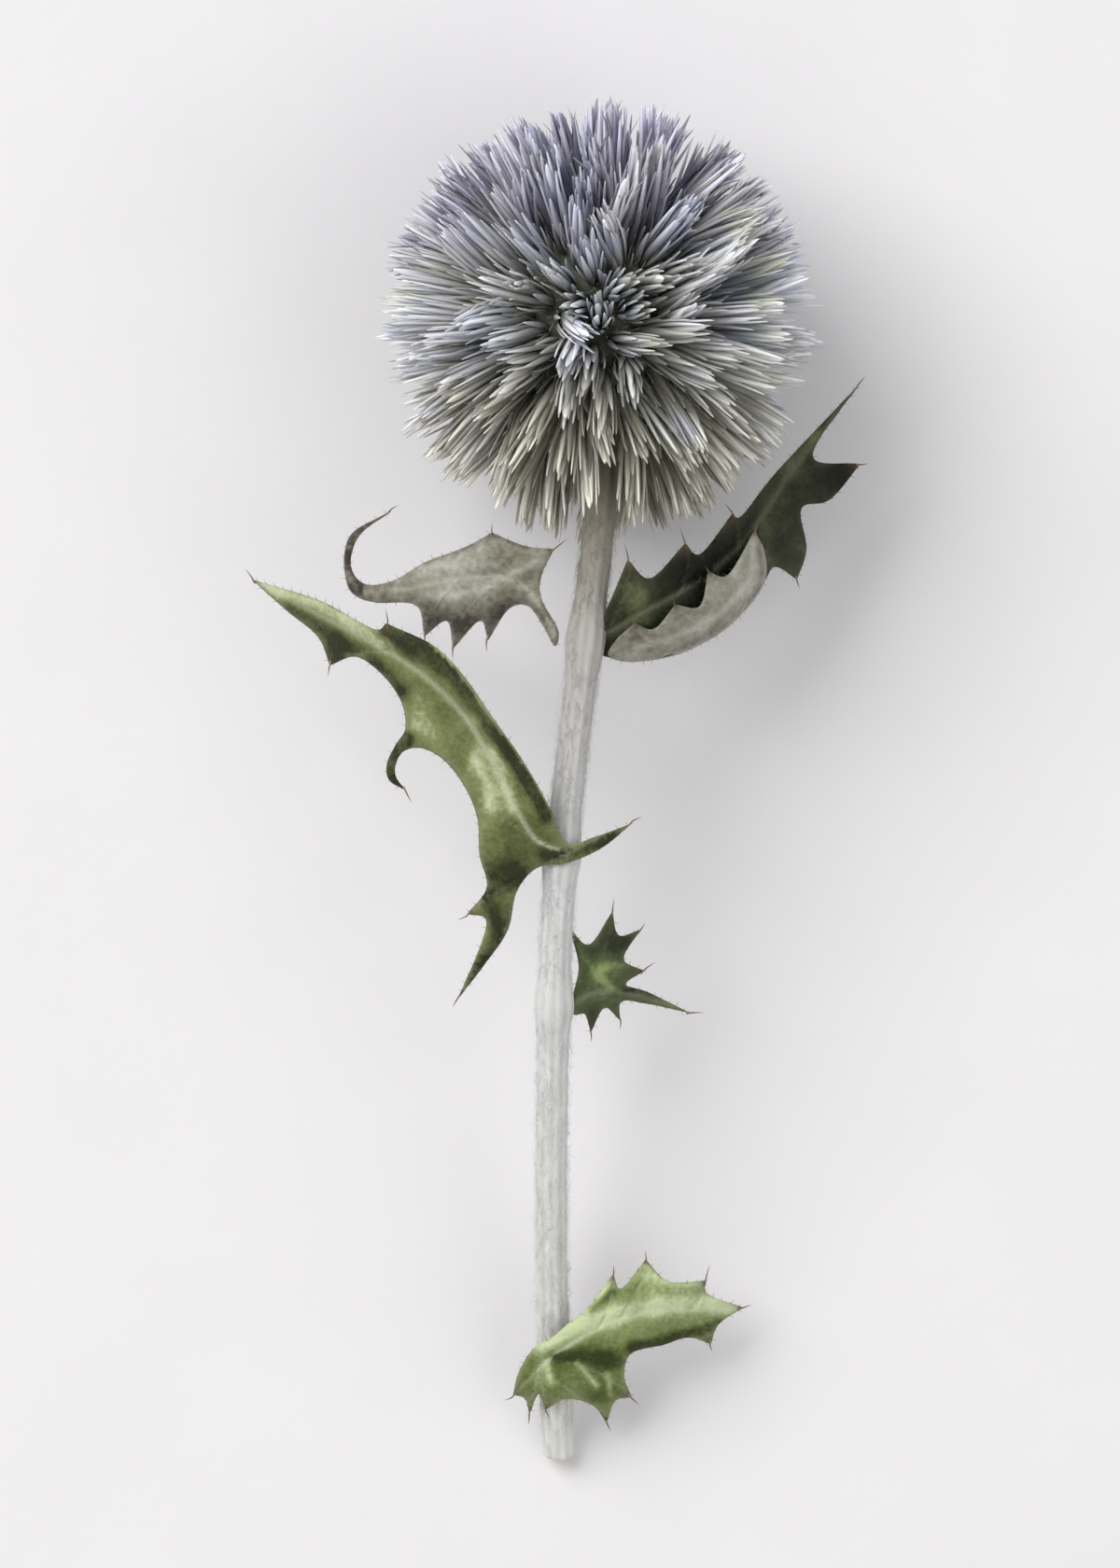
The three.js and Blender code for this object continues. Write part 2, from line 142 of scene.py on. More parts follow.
# %% [markdown]
# Hardly anything on a plant ends sharply. A swelling, a vein or a patch of colour is strongest
# on its own line and fades with the distance from it. Two curves do nearly all of that here: a
# bell, which is flat on the line, and a plain fade, which is steepest there.

# %% Helpers that fade with distance
def bell(distance, reach):
    return np.exp(-(distance / reach) ** 2)


def fade(distance, reach):
    return np.exp(-distance / reach)


# %% [markdown]
# ## Where the florets stand
#
# A sunflower, a pine cone and a globe thistle set their parts in the same way: each new one is
# turned from the last by the golden angle, about 137.5 degrees. Wound from pole to pole over a
# ball, this spreads the florets evenly with no rows or seams. The winding's pole is the stalk,
# and the spiral is turned until one floret points straight down, as the frame's solids have it.
#
# Two things break the even pattern near the stalk. The ball is bare close to it, and the florets
# round that patch lean back along the stalk. Those that stand over it are parted to both sides,
# so the top of the stalk can be seen between them. Lastly each floret tilts a little at random.

# %% Spread the florets over the ball
FLORETS = 280
GOLDEN_ANGLE = math.pi * (3 - math.sqrt(5))
BARE_ANGLE = math.radians(18)
DROOP_ANGLE = math.radians(50)
DROOP_LEAN = math.radians(6)
PARTED_TO = math.radians(40)
PARTING = 0.11
PARTING_WIDTH = 0.20
PARTING_RISE = 3
FLORET_TILT = math.radians(4.6)
DOWN = np.array([0.0, 0.0, -1.0])
random = np.random.default_rng(11)


def floret_directions():
    """One direction for each floret, wound round the ball from the stalk to the far pole."""
    lowest = round(FLORETS * (1 - DOWN @ stalk_direction) / 2 - 0.5)
    downward = unit(DOWN - stalk_direction * (DOWN @ stalk_direction))
    sideways = np.cross(stalk_direction, downward)
    index = np.arange(FLORETS)
    height = 1 - (2 * index + 1) / FLORETS
    width = np.sqrt(1 - height ** 2)
    angle = GOLDEN_ANGLE * (index - lowest)
    directions = (
        height[:, None] * stalk_direction
        + (width * np.cos(angle))[:, None] * downward
        + (width * np.sin(angle))[:, None] * sideways
    )
    return directions[height < math.cos(BARE_ANGLE)]


def lean_to_stalk(directions):
    """Directions turned towards the stalk, more the nearer they are to it."""
    angle = np.arccos(np.clip(directions @ stalk_direction, -1, 1))
    share = np.clip((DROOP_ANGLE - angle) / (DROOP_ANGLE - BARE_ANGLE), 0, 1)
    towards = unit(stalk_direction - directions * (directions @ stalk_direction)[:, None])
    lean = (share * DROOP_LEAN)[:, None]
    return directions * np.cos(lean) + towards * np.sin(lean)


def part_over_stalk(directions):
    """Directions over the top of the stalk, pushed to the side that they are on."""
    beside = unit(np.cross(stalk_direction, [0, 0, 1.0]))
    over = np.cross(beside, stalk_direction)
    sideways = directions @ beside
    angle = np.arccos(np.clip(directions @ stalk_direction, -1, 1))
    strength = np.clip((PARTED_TO - angle) / (PARTED_TO - BARE_ANGLE) * PARTING_RISE, 0, 1)
    strength = strength * (directions @ over > 0) * bell(sideways, PARTING_WIDTH)
    push = np.where(sideways < 0, -PARTING, PARTING) * strength
    return unit(directions + push[:, None] * beside)


floret_roots = part_over_stalk(floret_directions())
floret_tips = lean_to_stalk(floret_roots)
floret_tips = unit(floret_tips + random.normal(0, FLORET_TILT, floret_tips.shape))
floret_across = unit(np.cross(floret_roots, [0.31, 0.22, 0.92]))
floret_over = np.cross(floret_roots, floret_across)
floret_ripeness = 0.5 - 0.5 * floret_roots @ stalk_direction
floret_twist = random.uniform(0, 2 * math.pi, len(floret_roots))
floret_size = random.uniform(0.97, 1.01, len(floret_roots))
print(len(floret_roots), "florets")

# %% [markdown]
# ## Needles by the thousand
#
# Each bract is a long, closed, keeled blade that bends a little on its way out. Three points
# steer it: root, middle and tip, as a quadratic curve. A row of stations along the curve each
# get a four-cornered section, two edges, a keel on the outside and a shallow hollow within, and
# the last station closes in a point. Two facts are stored: reach, from 0 at the root to 1 at the
# tip, and rim, which is 1 along the two edges and 0 on the keel.
#
# One function makes all the needles of a whorl at once. It serves for bristles, petals, spines
# and wool too, with other widths.

# %% A helper that makes many needles
HOLLOW_DEPTH = 0.35
SECTION_RIM = [1.0, 0.0, 1.0, 0.4]
TIP_RIM = 0.5


def needles(name, roots, middles, tips, outward, width, profile, facts):
    """Keeled needles along quadratic curves. outward is each needle's keel side; width is each
    needle's half width; profile is rows of (station, share of the width, keel as a share)."""
    stations, widths, keels = (np.array(column) for column in zip(*profile))
    s = stations[None, :, None]
    line = (1 - s) ** 2 * roots[:, None] + 2 * s * (1 - s) * middles[:, None] + s ** 2 * tips[:, None]
    along = unit((1 - s) * (middles - roots)[:, None] + s * (tips - middles)[:, None])
    side = unit(np.cross(along, outward[:, None]))
    keel = np.cross(side, along)
    half = width[:, None, None] * widths[None, :, None]
    depth = half * keels[None, :, None]
    section = np.stack([
        line - side * half,
        line + keel * depth,
        line + side * half,
        line - keel * depth * HOLLOW_DEPTH,
    ], axis=2)
    count, rings = len(roots), len(stations)
    corners = np.concatenate([section.reshape(count, rings * 4, 3), tips[:, None]], axis=1)
    pattern = []
    for ring in range(rings - 1):
        for k in range(4):
            a, b = ring * 4 + k, ring * 4 + (k + 1) % 4
            pattern.append((a, b, b + 4, a + 4))
    last = (rings - 1) * 4
    tip_faces = [(last + k, last + (k + 1) % 4, rings * 4) for k in range(4)]
    per_needle = rings * 4 + 1
    start = np.arange(count)[:, None, None] * per_needle
    quads = (np.array(pattern + [(3, 2, 1, 0)])[None] + start).reshape(-1, 4).tolist()
    triangles = (np.array(tip_faces)[None] + start).reshape(-1, 3).tolist()
    corner_facts = {fact: np.repeat(values, per_needle) for fact, values in facts.items()}
    corner_facts["rim"] = np.tile(np.append(np.tile(SECTION_RIM, rings), TIP_RIM), count)
    corner_facts["reach"] = np.tile(np.append(np.repeat(stations, 4), 1.0), count)
    return make_piece(name, press_underside(corners), quads + triangles, corner_facts)


# %% [markdown]
# The florets under the ball carry its weight. They are squeezed, not cut: the lowest layer of
# the ball is flattened towards the surface, and what lies higher isn't touched.

# %% Press the underside flat
PRESSED_BELOW = 1.6 * MM
LOWEST_REACH = -2.2 * MM
REST_CLEARANCE = 0.15 * MM


def press_underside(corners):
    """The corners, with the lowest layer of the ball squeezed to just above the surface."""
    corners = corners.copy()
    z = corners[..., 2]
    share = np.clip((z - LOWEST_REACH) / (PRESSED_BELOW - LOWEST_REACH), 0, 1)
    pressed = REST_CLEARANCE + share * (PRESSED_BELOW - REST_CLEARANCE)
    corners[..., 2] = np.where(z < PRESSED_BELOW, pressed, z)
    return corners


# %% [markdown]
# ## The bracts of one floret
#
# On the plant a floret is a slim closed spindle. Pale bristles stand round its foot, then come
# around twenty keeled bracts in overlapping whorls, short ones outside and long ones inside. The
# long ones close round the bud, and their free needles stand apart at the end as a small star.
# Between one floret and the next there is room to look down into the dark.
#
# A whorl is set by a few numbers: how many bracts, how far from the ball's middle they root and
# end, how far they stand from the floret's own middle line at the root, at the bulge and at the
# tip, and how wide they are. Each bract also stores its layer, 0 for the outermost whorl and 1
# for the innermost, so that the finish can be paler towards the inside and paint the outer whorls
# darker, as shade between the florets.

# %% Set the bracts of every floret
CORE_REACH = 11 * MM
BRACT_BEND = 0.14 * MM
WHORL_TURN = 1.3
ANGLE_WOBBLE = 0.12
SIZE_RANGE = (0.85, 1.15)
TIP_RANGE = (0.55, 1.45)


def on_floret(reach, spread, angle):
    """Points at a reach from the ball's middle and a spread from each floret's middle line.
    All three are arrays with a row for each floret and a column for each bract."""
    reach = CORE_REACH + (reach - CORE_REACH) * floret_size[:, None]
    share = np.clip((reach - CORE_REACH) / (globe_radius - CORE_REACH), 0, 1)[..., None]
    axis = unit(floret_roots[:, None] * (1 - share) + floret_tips[:, None] * share)
    height = np.sqrt(np.maximum(reach ** 2 - spread ** 2, 0))[..., None]
    turned = (
        np.cos(angle)[..., None] * floret_across[:, None]
        + np.sin(angle)[..., None] * floret_over[:, None]
    )
    return globe_middle + axis * height + turned * spread[..., None], turned


def whorl(name, bracts, root, end, spreads, half_width, profile, layer=0.0, keep=None, wander=0.2):
    """A ring of bracts on every floret. root and end are distances from the ball's middle, end
    as (shortest, longest); spreads are (root, bulge, tip) distances from the floret's line. All
    of them are in millimetres."""
    shape = (len(floret_roots), bracts)
    angle = floret_twist[:, None] + WHORL_TURN * layer + 2 * math.pi * np.arange(bracts) / bracts
    angle = angle + random.normal(0, ANGLE_WOBBLE, shape)
    reach = random.uniform(end[0], end[1], shape) * MM
    middle_reach = (root * MM + reach) / 2
    size = random.uniform(*SIZE_RANGE, shape)
    roots, out = on_floret(np.full(shape, root * MM), np.full(shape, spreads[0] * MM), angle)
    middles, _ = on_floret(middle_reach, spreads[1] * MM * size, angle)
    middles = middles + random.normal(0, BRACT_BEND, middles.shape)
    tip_angle = angle + random.normal(0, wander, shape)
    tip_spread = spreads[2] * MM * random.uniform(*TIP_RANGE, shape)
    tips, _ = on_floret(reach, tip_spread, tip_angle)
    chosen = np.ones(shape, bool) if keep is None else np.repeat(keep[:, None], bracts, 1)
    facts = {
        "tint": random.uniform(0, 1, shape)[chosen],
        "ripe": np.repeat(floret_ripeness[:, None], bracts, 1)[chosen],
        "layer": np.full(shape, layer)[chosen],
    }
    width = half_width * MM * random.uniform(*SIZE_RANGE, shape)[chosen]
    roots, middles, tips, out = roots[chosen], middles[chosen], tips[chosen], out[chosen]
    return needles(name, roots, middles, tips, out, width, profile, facts)


BRACT_PROFILE = [
    (0.0, 0.55, 0.5), (0.22, 0.85, 0.5), (0.42, 1.0, 0.5), (0.60, 0.92, 0.55),
    (0.75, 0.72, 0.6), (0.88, 0.50, 0.7), (0.96, 0.30, 0.8),
]
BRISTLE_PROFILE = [(0.0, 1.0, 0.8), (0.5, 0.9, 0.8), (0.8, 0.6, 0.8)]
BUD_PROFILE = [(0.0, 0.5, 1.0), (0.4, 0.8, 1.0), (0.7, 1.0, 1.0), (0.88, 0.75, 1.0), (0.96, 0.4, 1.0)]
bristles = whorl(
    "foot_bristles", bracts=9, root=10.4, end=(13.4, 15.4), spreads=(0.7, 1.2, 1.5),
    half_width=0.09, profile=BRISTLE_PROFILE)
outer_bracts = whorl(
    "outer_bracts", bracts=5, root=10.4, end=(15.2, 17.0), spreads=(0.6, 1.3, 1.35),
    half_width=0.38, profile=BRACT_PROFILE)
middle_bracts = whorl(
    "middle_bracts", bracts=5, root=10.4, end=(18.8, 21.2), spreads=(0.5, 1.1, 1.4),
    half_width=0.36, profile=BRACT_PROFILE, layer=0.5)
inner_bracts = whorl(
    "inner_bracts", bracts=6, root=10.6, end=(20.8, 22.3), spreads=(0.35, 0.8, 0.85),
    half_width=0.36, profile=BRACT_PROFILE, layer=1.0)
buds = whorl(
    "closed_buds", bracts=1, root=11.0, end=(20.7, 21.9), spreads=(0.0, 0.0, 0.1),
    half_width=0.48, profile=BUD_PROFILE, layer=1.0)
bract_pieces = [outer_bracts, middle_bracts, inner_bracts, buds]

# %% [markdown]
# ## The core
#
# The florets stand on a small woody ball. It only shows as darkness between the bracts, but it
# has to be there, or light would pass through the flower. An icosphere with its corners moved
# in and out a little is enough.

# %% Make the core
CORE_RADIUS = 10.8 * MM
CORE_ROUGHNESS = 0.03


def make_core():
    """A woody ball with a slightly uneven surface."""
    bpy.ops.mesh.primitive_ico_sphere_add(subdivisions=4, radius=CORE_RADIUS, location=globe_middle)
    core = bpy.context.object
    core.name = "core"
    for vertex in core.data.vertices:
        x, y, z = vertex.co
        vertex.co *= 1 + CORE_ROUGHNESS * math.sin(x * 2100) * math.sin(y * 1900 + z * 1700)
    core.data.polygons.foreach_set("use_smooth", np.ones(len(core.data.polygons), bool))
    return core


core = make_core()

# %% [markdown]
# ## Open flowers
#
# A globe thistle opens from the top of the ball down to the stalk. An open floret puts out a
# pale tube and five narrow petals, which dry to curled violet-blue straps. They are needles too,
# flat and thin, rooted between the bracts and bent outwards. How likely a floret is to be open
# follows how far round the ball it stands from the stalk.

# %% Open the upper florets
open_chance = np.clip((floret_ripeness - 0.45) * 1.8, 0, 0.6)
is_open = random.uniform(0, 1, len(floret_roots)) < open_chance
PETAL_PROFILE = [
    (0.0, 0.5, 0.35), (0.25, 0.8, 0.3), (0.5, 1.0, 0.28), (0.75, 0.8, 0.3), (0.92, 0.4, 0.4),
]
petals = whorl(
    "petals", bracts=5, root=15.5, end=(20.4, 22.0), spreads=(0.25, 0.3, 1.5),
    half_width=0.2, profile=PETAL_PROFILE, keep=is_open, wander=0.5)
TUBE_PROFILE = [(0.0, 1.0, 0.9), (0.5, 0.8, 0.9), (0.8, 1.0, 0.9), (0.95, 0.7, 0.9)]
tubes = whorl(
    "flower_tubes", bracts=1, root=13, end=(19.6, 21.2), spreads=(0.0, 0.1, 0.3),
    half_width=0.26, profile=TUBE_PROFILE, keep=is_open)
print(int(is_open.sum()), "florets are open")

# %% [markdown]
# ## Tracing the stalk
#
# A smooth line through a few points is called a spline. Blender has curve objects for this, but
# a Catmull-Rom spline is a few lines of numpy and hands back evenly spaced places and
# directions, which the stalk, the leaves and the wool all need.

# %% A helper that smooths a route
STEPS_BETWEEN_POINTS = 60


def smooth_route(points, count):
    """Evenly spaced places along a smooth line through the points, and its directions there."""
    points = np.asarray(points, float)
    padded = np.vstack([2 * points[0] - points[1], points, 2 * points[-1] - points[-2]])
    fine = []
    for i in range(len(points) - 1):
        a, b, c, d = padded[i:i + 4]
        for t in np.linspace(0, 1, STEPS_BETWEEN_POINTS, endpoint=False):
            fine.append(0.5 * (2 * b + (c - a) * t + (2 * a - 5 * b + 4 * c - d) * t ** 2
                               + (3 * b - 3 * c + d - a) * t ** 3))
    fine.append(points[-1])
    fine = np.array(fine)
    length = np.concatenate([[0], np.cumsum(np.linalg.norm(np.diff(fine, axis=0), axis=1))])
    even = np.linspace(0, length[-1], count)
    places = np.stack([np.interp(even, length, column) for column in fine.T], axis=1)
    return places, unit(np.gradient(places, axis=0))


# %% [markdown]
# ## The stalk
#
# The stalk is a rod with ten ribs, swollen a little where each leaf grows, shrunk and wrinkled
# by drying. A ring of corners is laid round the middle line again and again. The ribs, the
# swellings and the wrinkles only change each corner's distance from the line. Ribs and wrinkles
# are given as shares of the radius. At the ball the skin flares into the core.
#
# Where each leaf grows is given as a share of the length of that leaf's box. The cut end is
# closed by smaller rings, each with its share of the radius and how far it has sunk, in
# millimetres: a rim of wood first, then softer pith.

# %% Make the stalk
STALK_RADIUS = 1.58 * MM
STALK_RIBS = 10
STALK_RINGS = 260
STALK_SIDES = 60
SKIN_SHARE = 0.95
RIB_HEIGHT = 0.032
OUT_OF_ROUND = 0.03
WRINKLE_HEIGHT = 0.012
FOOT_SWELLING = 0.42 * MM
FOOT_SWELLING_REACH = 2.4 * MM
NECK_FLARE = 1.5 * MM
NECK_FLARE_START = 0.8 * MM
NECK_FLARE_REACH = 0.9 * MM
CUT_RINGS = [(0.93, -0.12), (0.72, -0.05), (0.62, 0.25), (0.3, 0.35), (0.05, 0.3)]
STALK_CLEARANCE = 0.05 * MM
LEAF_FEET = {
    "leaf_upper_right": 0.07, "leaf_upper_left": 0.07, "leaf_mid_left": 0.35,
    "leaf_mid_right": 0.24, "leaf_lower_right": 0.35,
}
foot_heights = [in_box(node, (0, share, 0))[1] for node, share in LEAF_FEET.items()]
stalk_line, stalk_along = smooth_route(stalk_points, STALK_RINGS)
stalk_side = unit(np.cross(stalk_along, [0, 0, 1.0]))
stalk_over = np.cross(stalk_side, stalk_along)


def stalk_radius_at(places, angle):
    """The skin's distance from the middle line, by place along it and angle round it."""
    nearest = np.min([np.abs(places[:, 1] - foot) for foot in foot_heights], axis=0)
    swelling = FOOT_SWELLING * bell(nearest, FOOT_SWELLING_REACH)
    below_core = np.linalg.norm(places - globe_middle, axis=1) - CORE_REACH
    flare = NECK_FLARE * fade(np.maximum(below_core + NECK_FLARE_START, 0), NECK_FLARE_REACH)
    turn = angle[None, :]
    run = places[:, 1:2] / MM
    ribs = RIB_HEIGHT * np.cos(STALK_RIBS * turn) + OUT_OF_ROUND * np.cos(3 * turn + 0.8)
    wrinkles = WRINKLE_HEIGHT * (np.sin(23 * turn + run * 0.6) + np.sin(run * 1.7 + 5 * turn))
    return (STALK_RADIUS + (swelling + flare)[:, None]) * (SKIN_SHARE + ribs + wrinkles)


def make_stalk():
    """The whole skin of the stalk, closed inside the core and at the cut."""
    angle = np.linspace(0, 2 * math.pi, STALK_SIDES, endpoint=False)
    radius = stalk_radius_at(stalk_line, angle)
    outwards = (
        np.cos(angle)[None, :, None] * stalk_side[:, None]
        + np.sin(angle)[None, :, None] * stalk_over[:, None]
    )
    rings = stalk_line[:, None] + outwards * radius[..., None]
    end_rings = []
    for share, depth in CUT_RINGS:
        middle = stalk_line[-1] - stalk_along[-1] * depth * MM
        end_rings.append(middle + outwards[-1] * radius[-1][:, None] * share)
    corners = np.concatenate([rings, np.array(end_rings)], axis=0)
    corners[..., 2] = np.maximum(corners[..., 2], STALK_CLEARANCE)
    total = len(corners)
    faces = []
    for ring in range(total - 1):
        for k in range(STALK_SIDES):
            a, b = ring * STALK_SIDES + k, ring * STALK_SIDES + (k + 1) % STALK_SIDES
            faces.append((a, a + STALK_SIDES, b + STALK_SIDES, b))
    faces.append(tuple(range(STALK_SIDES)))
    faces.append(tuple(reversed(range((total - 1) * STALK_SIDES, total * STALK_SIDES))))
    cut = np.zeros((total, STALK_SIDES))
    cut[STALK_RINGS:] = 1
    down = np.linspace(0, 1, total)[:, None].repeat(STALK_SIDES, 1)
    rib = np.cos(STALK_RIBS * angle)[None, :].repeat(total, 0)
    return make_piece("stalk_skin", corners, faces, {"cut": cut, "down": down, "rib": rib})


stalk_skin = make_stalk()
